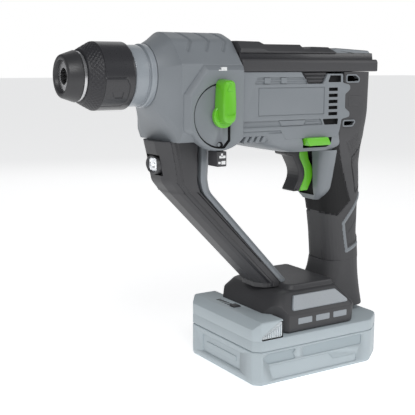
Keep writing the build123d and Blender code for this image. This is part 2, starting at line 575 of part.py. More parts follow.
with BuildPart() as rotor_windings:
    with BuildSketch(Plane.YZ.offset(ROTOR_X0 - 3.0)) as slots:
        with Locations((0, MOTOR_Z)):
            with PolarLocations(ROTOR_R - 4.0, ROTOR_POLES):
                Circle(2.3)
    extrude(slots.sketch, amount=ROTOR_X1 - ROTOR_X0 + 6.0)
    for x in (ROTOR_X0 - 3.4, ROTOR_X1 + 0.2):
        ring(MOTOR_Z, x, x + 3.2, 13.2, 6.4)
rotor_windings.part.label = "rotor_windings"
export_step(rotor_windings.part, "parts/rotor_windings.step")

COMMUTATOR_X = MOTOR_REAR + 4.6
with BuildPart() as commutator:
    with BuildSketch(Plane.YZ.offset(COMMUTATOR_X)) as segments:
        with Locations((0, MOTOR_Z)):
            Circle(5.6)
            Circle(SHAFT_R, mode=Mode.SUBTRACT)
            with PolarLocations(5.6, 10):
                Rectangle(2.4, 0.4, mode=Mode.SUBTRACT)
    extrude(segments.sketch, amount=5.6)
commutator.part.label = "commutator"
export_step(commutator.part, "parts/commutator.step")

with BuildPart() as brush_gear:
    for side in (1, -1):
        block((COMMUTATOR_X + 0.6, COMMUTATOR_X + 4.6), (5.6 + RUN, 13.0) if side > 0 else (-13.0,
                                                                                            -5.6 - RUN),
              (MOTOR_Z - 2.0, MOTOR_Z + 2.0))
brush_gear.part.label = "brush_gear"
export_step(brush_gear.part, "parts/brush_gear.step")

BLADE_COUNT = 12
with BuildPart() as motor_fan:
    ring(MOTOR_Z, FAN_X, FAN_X + 7.0, 5.0, SHAFT_R)
    ring(MOTOR_Z, FAN_X, FAN_X + 1.4, 22.4, 5.0)
    with BuildSketch(Plane.YZ.offset(FAN_X + 1.4)) as blades:
        with Locations((0, MOTOR_Z)):
            with PolarLocations(13.2, BLADE_COUNT):
                Rectangle(18.0, 1.2)
    extrude(blades.sketch, amount=5.0)
motor_fan.part.label = "motor_fan"
export_step(motor_fan.part, "parts/motor_fan.step")

# ------------------------------------------------------------------ casing outlines, as (x, z)
HUMP_Z = BODY_Z - 7.5
TRIGGER_X = SEAM_X + 8.0                 # rear of the hump, behind the trigger
BODY_OUTLINE = [(HEAD_X - GAP, PANEL_TOP), (SEAM_X, PANEL_TOP), (SEAM_X, HUMP_Z),
                (TRIGGER_X + 28.0, HUMP_Z), (HEAD_X - 18.0, BODY_Z - 1.0), (HEAD_X - GAP, BODY_Z - 1.0)]
REAR_OUTLINE = [(SEAM_X, PANEL_TOP), (REAR_X, PANEL_TOP), (REAR_X + 2.0, BODY_Z), (REAR_X + 5.0, HUMP_Z),
                (SEAM_X, HUMP_Z)]
CAVITY_OUTLINE = [(HEAD_X + 1, HEAD_Z), (HEAD_X - 18.0, BODY_Z + 1.5), (TRIGGER_X + 28.0, HUMP_Z + WALL),
                  (REAR_X + 8.0, HUMP_Z + WALL), (REAR_X + 4.0, BODY_Z + 2.0), (REAR_X + 2.6, PANEL_TOP),
                  (REAR_X + 2.6, PANEL_TOP + 1), (HEAD_X + 1, PANEL_TOP + 1)]
GRIP_TOP = HUMP_Z + 4.0
GRIP_FOOT = FOOT_TOP + 8.0               # seam between the rubber and the grip's foot
GRIP_LEVELS = [(FOOT_Z - 9.0, -32.6, -58.0, 19.5), (FOOT_Z, -31.8, -59.0, 19.3), (FOOT_TOP - 5.0,
                                                                                  -29.0, -60.0, 19.0),
               (GRIP_FOOT, -27.0, -59.5, GRIP_HALF), (FOOT_TOP + 28.0, -24.6, -58.5, GRIP_HALF - 0.5),
               (BODY_Z - 37.0, -19.0, -58.5, GRIP_HALF + 0.5), (GRIP_TOP, -14.0, -54.0, GRIP_HALF + 1.0)]
# Everything behind and below this line is rubber.
RUBBER_OUTLINE = [(-80.0, GRIP_FOOT), (-10.0, GRIP_FOOT), (0.0, BODY_Z - 52.0), (-31.0, BODY_Z - 57.0),
                  (-42.0, BODY_Z - 47.0), (-31.0, BODY_Z - 21.0), (SEAM_X - 6.0, HUMP_Z - GAP),
                  (-80.0, HUMP_Z - GAP)]

STRUT_SLOPE = (STRUT_X - FOOT_X) / (STRUT_Z - FOOT_TOP)


def strut_line(z, back=0.0):
    """The point at height z on the front line of the strut, moved back by a level distance."""
    return (FOOT_X + STRUT_SLOPE * (z - FOOT_TOP) - back, z)


STRUT_BASE = FOOT_TOP + GAP
STRUT_OUTLINE = [strut_line(STRUT_Z), strut_line(STRUT_BASE), strut_line(STRUT_BASE, STRUT_DEPTH),
                 strut_line(STRUT_Z, STRUT_DEPTH)]
COLLAR_OUTLINE = [strut_line(STRUT_Z), (STRUT_X + 5.8, STRUT_Z + 7.0), (STRUT_X + 6.5, STRUT_Z + 12.5),
                  (STRUT_X + 9.9, STRUT_Z + 30.0), (STRUT_X + 11.0, HEAD_Z - GAP), (HEAD_X - 8.0,
                                                                                    HEAD_Z - GAP),
                  (HEAD_X - 8.0, BODY_Z - 1.0), (HEAD_X + 2.0, BODY_Z - 3.0), (STRUT_X - 26.5,
                                                                               STRUT_Z + 16.0),
                  (STRUT_X - 26.5, STRUT_Z + 7.0), strut_line(STRUT_Z, STRUT_DEPTH)]
SPINE_FRONT = STRUT_DEPTH - SPINE_DEPTH
# Everything in front of this line belongs to the dark covers.
COVER_OUTLINE = [(STRUT_X + 40.0, HEAD_Z + 10), (STRUT_X - 17.5, HEAD_Z + 10), (STRUT_X - 17.5,
                                                                                STRUT_Z + 7.0),
                 strut_line(STRUT_Z, SPINE_FRONT), strut_line(STRUT_BASE - 1, SPINE_FRONT),
                 (STRUT_X + 40.0, STRUT_BASE - 1)]
COLLAR_HALF = STRUT_HALF + 2.0

# ------------------------------------------------------------------ whole outer and inner shapes
with BuildPart() as grip_outer:
    oval_column(GRIP_LEVELS)

with BuildPart() as grip_core:
    oval_column(GRIP_LEVELS, GRIP_SKIN)

with BuildPart() as grip_cavity:
    oval_column(GRIP_LEVELS[1:], GRIP_SKIN + WALL)

with BuildPart() as body_cavity:
    slab(CAVITY_OUTLINE, BODY_HALF - WALL)
    for side in (1, -1):
        strip = sorted((side * (BODY_HALF - 14.0), side * BODY_HALF))
        block((REAR_X - 10.0, REAR_X + 14.0), strip, (HUMP_Z - 1, PANEL_TOP + 2), mode=Mode.SUBTRACT)
    slab([(HEAD_X + 1, PANEL_TOP - 1), (HEAD_X + 1, PANEL_TOP + 14.0), (REAR_X + 8.0, PANEL_TOP + 10.0),
          (REAR_X + 4.0, PANEL_TOP - 1)], 17.0)

with BuildPart() as strut_cavity:
    slab(STRUT_OUTLINE, STRUT_HALF - WALL, shrink=WALL)
    slab(COLLAR_OUTLINE, COLLAR_HALF - WALL, shrink=WALL)
    slab([strut_line(STRUT_Z + 6, WALL * 1.5), strut_line(STRUT_Z - 6, WALL * 1.5),
          strut_line(STRUT_Z - 6, STRUT_DEPTH - WALL * 1.5), strut_line(STRUT_Z + 6,
                                                                        STRUT_DEPTH - WALL * 1.5)],
         STRUT_HALF - WALL)

with BuildPart() as cover_region:
    slab(COVER_OUTLINE, 60.0)

with BuildPart() as rubber_region:
    slab(RUBBER_OUTLINE, 60.0)

GRIP_REACH = GRIP_HALF - GRIP_SKIN - 0.6
SCREW_SPOTS = [(18.0, BODY_Z + 6.4, BODY_HALF - 1.0), (-41.0, BODY_Z - 44.0, GRIP_REACH),
               (-43.5, GRIP_FOOT + 7.0, GRIP_REACH), (STRUT_X - 24.0, STRUT_Z + 11.0, COLLAR_HALF - 1.0)]
BOSS_R, SCREW_R, SCREW_HEAD_R = 3.4, 1.3, 3.0
SCREW_FLOOR = 11.0           # depth of the screw heads, from the mid-plane

with BuildPart() as light_grip:
    add(grip_outer.part)
    add(rubber_region.part, mode=Mode.SUBTRACT)

with BuildPart() as strut_spine:
    slab(STRUT_OUTLINE, STRUT_HALF, edge=3.0)
    slab(COLLAR_OUTLINE, COLLAR_HALF, edge=3.0)
    add(cover_region.part, mode=Mode.SUBTRACT)
    add(strut_cavity.part, mode=Mode.SUBTRACT)

with BuildPart() as casing_whole:
    slab(BODY_OUTLINE, BODY_HALF, edge=2.0)
    add(grip_core.part)
    add(light_grip.part)
    block((-90.0, SEAM_X), (-60, 60), (HUMP_Z - GAP, PANEL_TOP + 50), mode=Mode.SUBTRACT)
    block((-90.0, 0.0), (-60, 60), (GRIP_TOP - GAP, GRIP_TOP + 1), mode=Mode.SUBTRACT)
    add(body_cavity.part, mode=Mode.SUBTRACT)
    add(grip_cavity.part, mode=Mode.SUBTRACT)
    # cradles of the motor can
    for x in (MOTOR_REAR + 20.0, MOTOR_X - 12.0):
        block((x, x + 3.0), (-BODY_HALF + 1, BODY_HALF - 1), (BODY_Z + 1.0, PANEL_TOP - 3.0))
    ring(MOTOR_Z, MOTOR_REAR, MOTOR_X, MOTOR_R + 0.05, mode=Mode.SUBTRACT)
    add(strut_spine.part)
    # window for the trigger, in the front of the grip
    block((TRIGGER_X - 16.0, TRIGGER_X + 40.0), (-8.0, 8.0), (BODY_Z - 40.0, HUMP_Z + WALL + 0.2),
          mode=Mode.SUBTRACT)
    # windows for the direction switch
    block((-12.4, 13.4), (-60, 60), (BODY_Z - 4.8, BODY_Z + 3.2), mode=Mode.SUBTRACT)

VENT_X, VENT_LENGTH, VENT_COUNT, VENT_PITCH = SEAM_X + 7.0, 8.0, 5, 4.0
VENT_Z = BODY_Z + 18.0
with BuildPart() as vents:
    for count in range(VENT_COUNT):
        z = VENT_Z + VENT_PITCH * count
        block((VENT_X, VENT_X + VENT_LENGTH), (-60, 60), (z - 1.1, z + 1.1))

with BuildPart() as bosses:
    for x, z, reach in SCREW_SPOTS:
        pin_y(x, z, BOSS_R, -reach, reach)

with BuildPart() as boss_holes:
    for x, z, _ in SCREW_SPOTS:
        pin_y(x, z, SCREW_R + 0.05, -SCREW_FLOOR - 0.1, SCREW_FLOOR - 3.0)
        pin_y(x, z, SCREW_HEAD_R + 0.3, -60, -SCREW_FLOOR)

with BuildPart() as casing_left:
    add(casing_whole.part)
    add(bosses.part)
    add(vents.part, mode=Mode.SUBTRACT)
    add(boss_holes.part, mode=Mode.SUBTRACT)
    split(bisect_by=Plane.XZ, keep=Keep.BOTTOM)
casing_left.part.label = "casing_left"
export_step(casing_left.part, "parts/casing_left.step")

with BuildPart() as casing_right:
    add(casing_whole.part)
    add(bosses.part)
    add(vents.part, mode=Mode.SUBTRACT)
    add(boss_holes.part, mode=Mode.SUBTRACT)
    split(bisect_by=Plane.XZ, keep=Keep.TOP)
casing_right.part.label = "casing_right"
export_step(casing_right.part, "parts/casing_right.step")

with BuildPart() as casing_screws:
    for x, z, _ in SCREW_SPOTS:
        pin_y(x, z, SCREW_HEAD_R, -SCREW_FLOOR - 2.4, -SCREW_FLOOR)
        pin_y(x, z, SCREW_R, -SCREW_FLOOR, SCREW_FLOOR - 4.0)
        block((x - 1.8, x + 1.8), (-SCREW_FLOOR - 3, -SCREW_FLOOR - 1.4), (z - 0.4, z + 0.4),
              mode=Mode.SUBTRACT)
casing_screws.part.label = "casing_screws"
export_step(casing_screws.part, "parts/casing_screws.step")

# ------------------------------------------------------------------ dark covers
RIDGE_HALF = 20.0
RIDGE_OUTLINE = [(HEAD_X - GAP, PANEL_TOP + GAP), (HEAD_X - GAP, BODY_Z + 66.0), (40.0, BODY_Z + 64.0),
                 (10.0, BODY_Z + 64.0), (5.0, BODY_Z + 61.4), (0.0, BODY_Z + 62.5), (SEAM_X + 8.0,
                                                                                     BODY_Z + 62.5),
                 (SEAM_X + 6.0, BODY_Z + 60.0), (REAR_X + 3.0, BODY_Z + 58.5), (REAR_X - 1.0,
                                                                                BODY_Z + 49.0),
                 (REAR_X, PANEL_TOP + GAP)]
with BuildPart() as top_cover:
    slab(RIDGE_OUTLINE, RIDGE_HALF, edge=1.5)
    with BuildSketch(Plane.YZ.offset(REAR_X)) as shoulder:
        with BuildLine():
            Polyline((-BODY_HALF, PANEL_TOP + GAP), (BODY_HALF, PANEL_TOP + GAP), (BODY_HALF,
                                                                                   BODY_Z + 48.5),
                     (RIDGE_HALF + 2.0, BODY_Z + 55.0), (-RIDGE_HALF - 2.0, BODY_Z + 55.0),
                     (-BODY_HALF, BODY_Z + 48.5), close=True)
        make_face()
    extrude(shoulder.sketch, amount=HEAD_X - GAP - REAR_X)
    add(body_cavity.part, mode=Mode.SUBTRACT)
top_cover.part.label = "top_cover"
export_step(top_cover.part, "parts/top_cover.step")

with BuildPart() as rear_cover:
    with BuildSketch(Plane.XY.offset(HUMP_Z)):
        with Locations(((REAR_X - 1 + SEAM_X - GAP) / 2, 0)):
            Rectangle(SEAM_X - GAP - REAR_X + 1, 2 * BODY_HALF)
    extrude(amount=PANEL_TOP - HUMP_Z)
    fillet(rear_cover.edges().filter_by(Axis.Z).group_by(Axis.X)[0], 16.0)
    add(body_cavity.part, mode=Mode.SUBTRACT)
    block((-90.0, 0.0), (-GRIP_HALF + 1.0, GRIP_HALF - 1.0), (HUMP_Z - 1, HUMP_Z + WALL + 1),
          mode=Mode.SUBTRACT)
rear_cover.part.label = "rear_cover"
export_step(rear_cover.part, "parts/rear_cover.step")

with BuildPart() as grip_cover:
    add(grip_outer.part)
    add(rubber_region.part, mode=Mode.INTERSECT)
    add(grip_core.part, mode=Mode.SUBTRACT)
grip_cover.part.label = "grip_cover"
export_step(grip_cover.part, "parts/grip_cover.step")

with BuildPart() as strut_cover:
    slab(STRUT_OUTLINE, STRUT_HALF, edge=3.0)
    add(cover_region.part, mode=Mode.INTERSECT)
    add(strut_cavity.part, mode=Mode.SUBTRACT)
strut_cover.part.label = "strut_cover"
export_step(strut_cover.part, "parts/strut_cover.step")

LED_X, LED_Z = STRUT_X + 6.0, STRUT_Z + 18.0
with BuildPart() as strut_collar:
    slab(COLLAR_OUTLINE, COLLAR_HALF, edge=4.0)
    add(cover_region.part, mode=Mode.INTERSECT)
    add(strut_cavity.part, mode=Mode.SUBTRACT)
    block((LED_X - 12.0, LED_X + 12.0), (-9.0, 9.0), (LED_Z - 7.0, LED_Z + 7.0), mode=Mode.SUBTRACT)
strut_collar.part.label = "strut_collar"
export_step(strut_collar.part, "parts/strut_collar.step")

with BuildPart() as led_bezel:
    block((LED_X - 5.0, LED_X + 3.6), (-8.7, 8.7), (LED_Z - 6.7, LED_Z + 6.7))
    block((LED_X - 6.0, LED_X + 9.0), (-6.3, 6.3), (LED_Z - 4.8, LED_Z + 4.8), mode=Mode.SUBTRACT)
led_bezel.part.label = "led_bezel"
export_step(led_bezel.part, "parts/led_bezel.step")

with BuildPart() as led_lens:
    block((LED_X - 4.0, LED_X + 2.4), (-6.0, 6.0), (LED_Z - 4.5, LED_Z + 4.5))
    chamfer(led_lens.faces().sort_by(Axis.X)[-1].edges(), 1.0)
led_lens.part.label = "led_lens"
export_step(led_lens.part, "parts/led_lens.step")

# ------------------------------------------------------------------ foot
FOOT_REAR = -31.0 + GAP
with BuildPart() as foot_base:
    with BuildSketch(Plane.XY.offset(FOOT_Z)) as lower:
        with Locations(((FOOT_REAR + 41.5) / 2, 0)):
            Rectangle(41.5 - FOOT_REAR, 2 * RAIL_HALF - 2.0)
    with BuildSketch(Plane.XY.offset(FOOT_TOP - 4.2)) as upper:
        with Locations(((FOOT_REAR + 31.0) / 2, 0)):
            Rectangle(31.0 - FOOT_REAR, 2 * HEAD_HALF)
    loft([lower.sketch.face(), upper.sketch.face()], ruled=True)
    block((FOOT_REAR, 36.0), (-28.0, 28.0), (FOOT_TOP - 4.2, FOOT_TOP))
    for side in (1, -1):
        ys = (TOWER_HALF + 0.6, RAIL_HALF) if side > 0 else (-RAIL_HALF, -TOWER_HALF - 0.6)
        lip = (TOWER_NECK + 0.6, RAIL_HALF) if side > 0 else (-RAIL_HALF, -TOWER_NECK - 0.6)
        block((FOOT_REAR, 28.0), ys, (DECK_Z + GAP, FOOT_Z))
        block((FOOT_REAR, 28.0), lip, (DECK_Z + GAP, DECK_Z + 5.4))
    # room for the contacts, and the opening for the grip's foot
    block((-26.0, -4.0), (-22.0, 22.0), (FOOT_Z - 1, FOOT_Z + 7.0), mode=Mode.SUBTRACT)
    add(grip_outer.part, mode=Mode.SUBTRACT)
foot_base.part.label = "foot_base"
export_step(foot_base.part, "parts/foot_base.step")

BLADE_SPOTS = (-16.0, -6.0, 6.0, 16.0)
with BuildPart() as terminal_block:
    block((-25.8, -4.2), (-21.8, 21.8), (FOOT_Z + 0.4, FOOT_Z + 6.8))
    for y in BLADE_SPOTS:
        block((-24.0, -10.0), (y - 0.4, y + 0.4), (FOOT_Z - 7.0, FOOT_Z + 0.4))
terminal_block.part.label = "terminal_block"
export_step(terminal_block.part, "parts/terminal_block.step")

# ------------------------------------------------------------------ trigger and switches
TRIGGER_Z0, TRIGGER_Z1 = BODY_Z - 39.0, HUMP_Z - 1.2
TRIGGER_FRONT = TRIGGER_X + 17.0
with BuildPart() as trigger:
    with BuildSketch(Plane.XZ) as side_view:
        with BuildLine():
            Polyline((TRIGGER_X + 3.0, TRIGGER_Z0), (TRIGGER_FRONT - 1.0, TRIGGER_Z0))
            ThreePointArc((TRIGGER_FRONT - 1.0, TRIGGER_Z0), (TRIGGER_FRONT - 3.2, TRIGGER_Z0 + 14.0),
                          (TRIGGER_FRONT + 1.0, TRIGGER_Z1 - 4.0))
            Polyline((TRIGGER_FRONT + 1.0, TRIGGER_Z1 - 4.0), (TRIGGER_FRONT + 9.0, TRIGGER_Z1 - 2.4),
                     (TRIGGER_FRONT + 9.0, TRIGGER_Z1), (TRIGGER_X + 3.0, TRIGGER_Z1),
                     (TRIGGER_X + 3.0, TRIGGER_Z0))
        make_face()
    extrude(side_view.sketch, amount=7.4, both=True)
    ring(TRIGGER_Z0 + 18.0, TRIGGER_X - 4.0, TRIGGER_X + 3.0, 2.5)
trigger.part.label = "trigger"
export_step(trigger.part, "parts/trigger.step")

with BuildPart() as switch_module:
    block((TRIGGER_X - 26.0, TRIGGER_X - 3.6), (-7.6, 7.6), (TRIGGER_Z0 + 6.0, TRIGGER_Z1 + 0.6))
    ring(TRIGGER_Z0 + 18.0, TRIGGER_X - 12.0, TRIGGER_X, 2.8, mode=Mode.SUBTRACT)
switch_module.part.label = "switch_module"
export_step(switch_module.part, "parts/switch_module.step")

BUTTON_Y = BODY_HALF + 3.4
with BuildPart() as direction_switch:
    with BuildSketch(Plane.XZ) as button:
        with BuildLine():
            Polyline((-11.0, BODY_Z - 3.8), (8.0, BODY_Z - 3.8), (12.0, BODY_Z + 2.2), (-9.0,
                                                                                        BODY_Z + 2.2),
                     (-11.0, BODY_Z - 3.8))
        make_face()
    extrude(button.sketch, amount=BUTTON_Y, both=True)
    block((-20.0, 20.0), (-BODY_HALF + 4.0, BODY_HALF - 4.0), (BODY_Z - 1.0, BODY_Z + 20.0),
          mode=Mode.SUBTRACT)
direction_switch.part.label = "direction_switch"
export_step(direction_switch.part, "parts/direction_switch.step")

# ------------------------------------------------------------------ battery
BATTERY_X = BATTERY_LENGTH / 2
CASE_SPLIT = 24.0
CASE_EDGE = 1.8              # chamfer round the battery's underside
BLOCK_HALF = BATTERY_HALF - 1.4
BLOCK_TOP = FOOT_Z - 0.2
LATCH_X0, LATCH_X1 = BLOCK_X + 3.6, BATTERY_X - 5.0
LATCH_FLOOR = BATTERY_HALF - 4.6


def battery_plan(z, inset=0.0):
    """Plan of the battery: small front corners and long cut rear corners."""
    with BuildSketch(Plane.XY.offset(z)) as plan:
        with BuildLine():
            Polyline((BATTERY_X - 5.0, BATTERY_HALF), (-BATTERY_X + 28.0, BATTERY_HALF),
                     (-BATTERY_X + 6.0, BATTERY_HALF - 10.0), (-BATTERY_X, BATTERY_HALF - 20.0),
                     (-BATTERY_X, -BATTERY_HALF + 20.0), (-BATTERY_X + 6.0, -BATTERY_HALF + 10.0),
                     (-BATTERY_X + 28.0, -BATTERY_HALF), (BATTERY_X - 5.0, -BATTERY_HALF),
                     (BATTERY_X, -BATTERY_HALF + 6.0), (BATTERY_X, BATTERY_HALF - 6.0), close=True)
        make_face()
        if inset:
            offset(amount=-inset, kind=Kind.INTERSECTION)
    return plan.sketch


with BuildPart() as battery_lower_case:
    loft([battery_plan(0.0, CASE_EDGE).face(), battery_plan(4.0).face()], ruled=True)
    extrude(battery_plan(4.0), amount=CASE_SPLIT - 4.0)
    extrude(battery_plan(WALL, CASE_EDGE + WALL), amount=CASE_SPLIT, mode=Mode.SUBTRACT)
battery_lower_case.part.label = "battery_lower_case"
export_step(battery_lower_case.part, "parts/battery_lower_case.step")

CHARGE_X = BATTERY_X - 12.0
with BuildPart() as battery_upper_case:
    extrude(battery_plan(CASE_SPLIT), amount=DECK_Z - CASE_SPLIT)
    block((-31.0 + GAP, BLOCK_X), (-TOWER_NECK, TOWER_NECK), (DECK_Z, DECK_Z + 6.0))
    block((-31.0 + GAP, BLOCK_X), (-TOWER_HALF, TOWER_HALF), (DECK_Z + 6.0, BLOCK_TOP))
    with BuildSketch(Plane.XY.offset(DECK_Z)) as block_plan:
        with Locations(((BLOCK_X + BATTERY_X) / 2 - 0.5, 0)):
            Rectangle(BATTERY_X - BLOCK_X - 1.0, 2 * BLOCK_HALF)
    extrude(block_plan.sketch, amount=BLOCK_TOP - DECK_Z, taper=6)
    # hollow, latch pockets, contact slots and the button's hole
    extrude(battery_plan(CASE_SPLIT - 1, 5.5), amount=DECK_Z - CASE_SPLIT + 1 - WALL, mode=Mode.SUBTRACT)
    block((-27.0, BLOCK_X), (-TOWER_NECK + WALL, TOWER_NECK - WALL), (CASE_SPLIT, BLOCK_TOP - WALL),
          mode=Mode.SUBTRACT)
    block((BLOCK_X, BATTERY_X - 5.0), (-BLOCK_HALF + 12.0, BLOCK_HALF - 12.0), (CASE_SPLIT,
                                                                                BLOCK_TOP - WALL),
          mode=Mode.SUBTRACT)
    for side in (1, -1):
        pocket = sorted((side * (LATCH_FLOOR - LATCH_TRAVEL - 1.0), side * 60))
        block((LATCH_X0 - GAP, LATCH_X1 + GAP), pocket, (DECK_Z - GAP, BLOCK_TOP + 1), mode=Mode.SUBTRACT)
    for y in BLADE_SPOTS:
        block((-40.0, -8.0), (y - 1.5, y + 1.5), (DECK_Z + 3.0, BLOCK_TOP + 1), mode=Mode.SUBTRACT)
    with Locations((CHARGE_X, 0, BLOCK_TOP)):
        Cylinder(3.2, 12.0, mode=Mode.SUBTRACT)
battery_upper_case.part.label = "battery_upper_case"
export_step(battery_upper_case.part, "parts/battery_upper_case.step")

CELL_R, CELL_LENGTH, CELL_COUNT, CELL_PITCH = 9.1, 65.0, 5, 18.6
with BuildPart() as battery_cells:
    for count in range(CELL_COUNT):
        x = CELL_PITCH * (count - (CELL_COUNT - 1) / 2) + 3.0
        pin_y(x, WALL + CELL_R + 0.2, CELL_R, -CELL_LENGTH / 2, CELL_LENGTH / 2)
battery_cells.part.label = "battery_cells"
export_step(battery_cells.part, "parts/battery_cells.step")

with BuildPart() as battery_board:
    block((-25.0, 30.0), (-24.0, 24.0), (CASE_SPLIT, CASE_SPLIT + 1.6))
    for y in BLADE_SPOTS:
        block((-22.0, -12.0), (y - 1.1, y - 0.5), (CASE_SPLIT + 1.6, BLOCK_TOP - 1.0))
        block((-22.0, -12.0), (y + 0.5, y + 1.1), (CASE_SPLIT + 1.6, BLOCK_TOP - 1.0))
battery_board.part.label = "battery_board"
export_step(battery_board.part, "parts/battery_board.step")


def latch(side):
    """One ribbed release button, at the front corner of the battery."""
    ys = sorted((side * LATCH_FLOOR, side * (BATTERY_HALF - 0.4)))
    block((LATCH_X0, LATCH_X1), ys, (DECK_Z, BLOCK_TOP - 1.6))
    for count in range(5):
        x = LATCH_X0 + 3.0 + 3.2 * count
        rib = sorted((side * (BATTERY_HALF - 0.4), side * BATTERY_HALF))
        block((x, x + 1.4), rib, (DECK_Z + 2.0, BLOCK_TOP - 3.0))


with BuildPart() as battery_latch_left:
    latch(1)
battery_latch_left.part.label = "battery_latch_left"
export_step(battery_latch_left.part, "parts/battery_latch_left.step")

with BuildPart() as battery_latch_right:
    latch(-1)
battery_latch_right.part.label = "battery_latch_right"
export_step(battery_latch_right.part, "parts/battery_latch_right.step")

with BuildPart() as charge_button:
    with Locations((CHARGE_X, 0, BLOCK_TOP - 1.0)):
        Cylinder(3.0, 4.0)
charge_button.part.label = "charge_button"
export_step(charge_button.part, "parts/charge_button.step")
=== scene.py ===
# %% [markdown]
# # Cordless rotary hammer: the looks
# The CAD model holds every size and every moving piece. This file dresses it. Each moulded cover, pad and
# button that shows is built again here with its rounded edges, seams, vents and grooves, and each gets a
# procedural finish. Metal internals keep their CAD shape and only get a finish.
# All lengths below are in millimetres until the mesh is made, because the real parts are drawn that way.

from math import cos, sin

import bmesh
import bpy
import numpy as np
from mathutils import Matrix, Vector


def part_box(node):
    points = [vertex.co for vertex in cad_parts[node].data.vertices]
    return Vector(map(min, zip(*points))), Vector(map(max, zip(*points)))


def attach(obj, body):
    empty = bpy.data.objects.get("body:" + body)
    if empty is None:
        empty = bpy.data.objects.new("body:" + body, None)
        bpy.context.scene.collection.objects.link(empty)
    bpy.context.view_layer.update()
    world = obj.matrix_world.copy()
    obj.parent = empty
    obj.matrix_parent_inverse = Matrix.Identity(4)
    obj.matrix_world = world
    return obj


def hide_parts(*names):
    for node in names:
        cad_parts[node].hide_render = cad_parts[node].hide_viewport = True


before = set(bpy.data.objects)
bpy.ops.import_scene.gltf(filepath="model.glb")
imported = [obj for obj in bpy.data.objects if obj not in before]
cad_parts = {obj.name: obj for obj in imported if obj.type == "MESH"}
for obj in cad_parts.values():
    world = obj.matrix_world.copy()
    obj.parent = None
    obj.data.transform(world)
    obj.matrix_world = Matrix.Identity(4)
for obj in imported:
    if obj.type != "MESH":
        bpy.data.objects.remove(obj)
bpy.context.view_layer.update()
MM = 0.001

# %% [markdown]
# ## Stations
# A station is a place that several pieces share, such as the spindle's height. Reading it from the CAD boxes
# keeps every cover in register with the mechanism when a size changes.

# %% Stations from the CAD
def low_high(node):
    """The lowest and the highest corner of a CAD node, in millimetres."""
    low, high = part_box(node)
    return np.array(low) / MM, np.array(high) / MM


head_low, head_high = low_high("head_housing")
sleeve_low, sleeve_high = low_high("locking_sleeve")
foot_high = low_high("foot_base")[1]
lower_low, lower_high = low_high("battery_lower_case")
upper_high = low_high("battery_upper_case")[1]
SPINDLE_Z = (sleeve_low[2] + sleeve_high[2]) / 2
HEAD_X = head_low[0]
CHUCK_X = sleeve_low[0]
print("spindle", round(SPINDLE_Z, 2), "head", round(HEAD_X, 2), "chuck", round(CHUCK_X, 2))

# %% [markdown]
# ## Mesh tools
# Moulded covers are drawn as outlines that shrink a little towards their faces, because a mould needs draft
# and a steel edge can't be sharp. One stack of such outlines makes a whole rounded slab. Slots and vents are
# then cut out, which leaves walls of true depth, and a near-black cutter paints shade on those walls.

# %% Mesh tools
def make_mesh(name, points, faces, angle=34.0):
    """A mesh object from millimetre points: seams closed, faces outward, smooth up to the angle."""
    mesh = bpy.data.meshes.new(name)
    mesh.from_pydata((np.asarray(points, dtype=float) * MM).tolist(), [], faces)
    obj = bpy.data.objects.new(name, mesh)
    bpy.context.scene.collection.objects.link(obj)
    tidy_mesh(obj, angle)
    return obj


def tidy_mesh(obj, angle=34.0):
    """Merges points that meet, turns every face outward and splits the shading at real edges."""
    work = bmesh.new()
    work.from_mesh(obj.data)
    bmesh.ops.remove_doubles(work, verts=work.verts, dist=2e-6)
    bmesh.ops.dissolve_degenerate(work, dist=1e-6, edges=work.edges)
    bmesh.ops.recalc_face_normals(work, faces=work.faces)
    work.to_mesh(obj.data)
    work.free()
    obj.data.shade_smooth()
    obj.data.set_sharp_from_angle(angle=np.radians(angle))


def ring_faces(rows, cols, caps=True):
    """Quads of a tube of rows by cols points, with one flat cap at each end."""
    start = np.arange(rows - 1)[:, None] * cols
    here = np.arange(cols)[None, :]
    after = (here + 1) % cols
    quads = np.stack([start + here, start + after, start + cols + after, start + cols + here], -1)
    faces = quads.reshape(-1, 4).tolist()
    if caps:
        faces += [list(range(cols))[::-1], list(range((rows - 1) * cols, rows * cols))]
    return faces


def soften(corners, radii, steps=6):
    """A closed outline with each corner swapped for an arc: the arc leaves each side at a distance of
    radius times the tangent of half the turn."""
    corners = np.asarray(corners, dtype=float)
    radii = np.broadcast_to(np.asarray(radii, dtype=float), len(corners))
    side = np.roll(corners, -1, 0) - corners
    if np.sum(corners[:, 0] * side[:, 1] - corners[:, 1] * side[:, 0]) < 0:
        corners, radii = corners[::-1], radii[::-1]
        side = np.roll(corners, -1, 0) - corners
    length = np.linalg.norm(side, axis=1)
    out = side / length[:, None]
    into = np.roll(out, 1, 0)
    half = np.arctan2(into[:, 0] * out[:, 1] - into[:, 1] * out[:, 0], np.sum(into * out, 1)) / 2
    reach = np.minimum(np.abs(radii * np.tan(half)), 0.49 * np.minimum(length, np.roll(length, 1)))
    start, end = corners - into * reach[:, None], corners + out * reach[:, None]
    t = np.linspace(0, 1, steps)[None, :, None]
    weight = 1 / np.maximum(np.cos(half), 0.2)[:, None, None]
    below = (1 - t) ** 2 * weight + 2 * t * (1 - t) + t ** 2 * weight
    arc = ((1 - t) ** 2 * weight * start[:, None] + 2 * t * (1 - t) * corners[:, None]
           + t ** 2 * weight * end[:, None]) / below
    return arc.reshape(-1, 2)


def shrink(loop, amount):
    """Each point of a closed outline moves inward along the bisector of its two sides."""
    before = loop - np.roll(loop, 1, 0)
    after = np.roll(loop, -1, 0) - loop
    before = before / np.maximum(np.linalg.norm(before, axis=1), 1e-9)[:, None]
    after = after / np.maximum(np.linalg.norm(after, axis=1), 1e-9)[:, None]
    n1 = np.stack([-before[:, 1], before[:, 0]], 1)
    n2 = np.stack([-after[:, 1], after[:, 0]], 1)
    return loop + amount * (n1 + n2) / np.maximum(1 + np.sum(n1 * n2, 1), 0.35)[:, None]


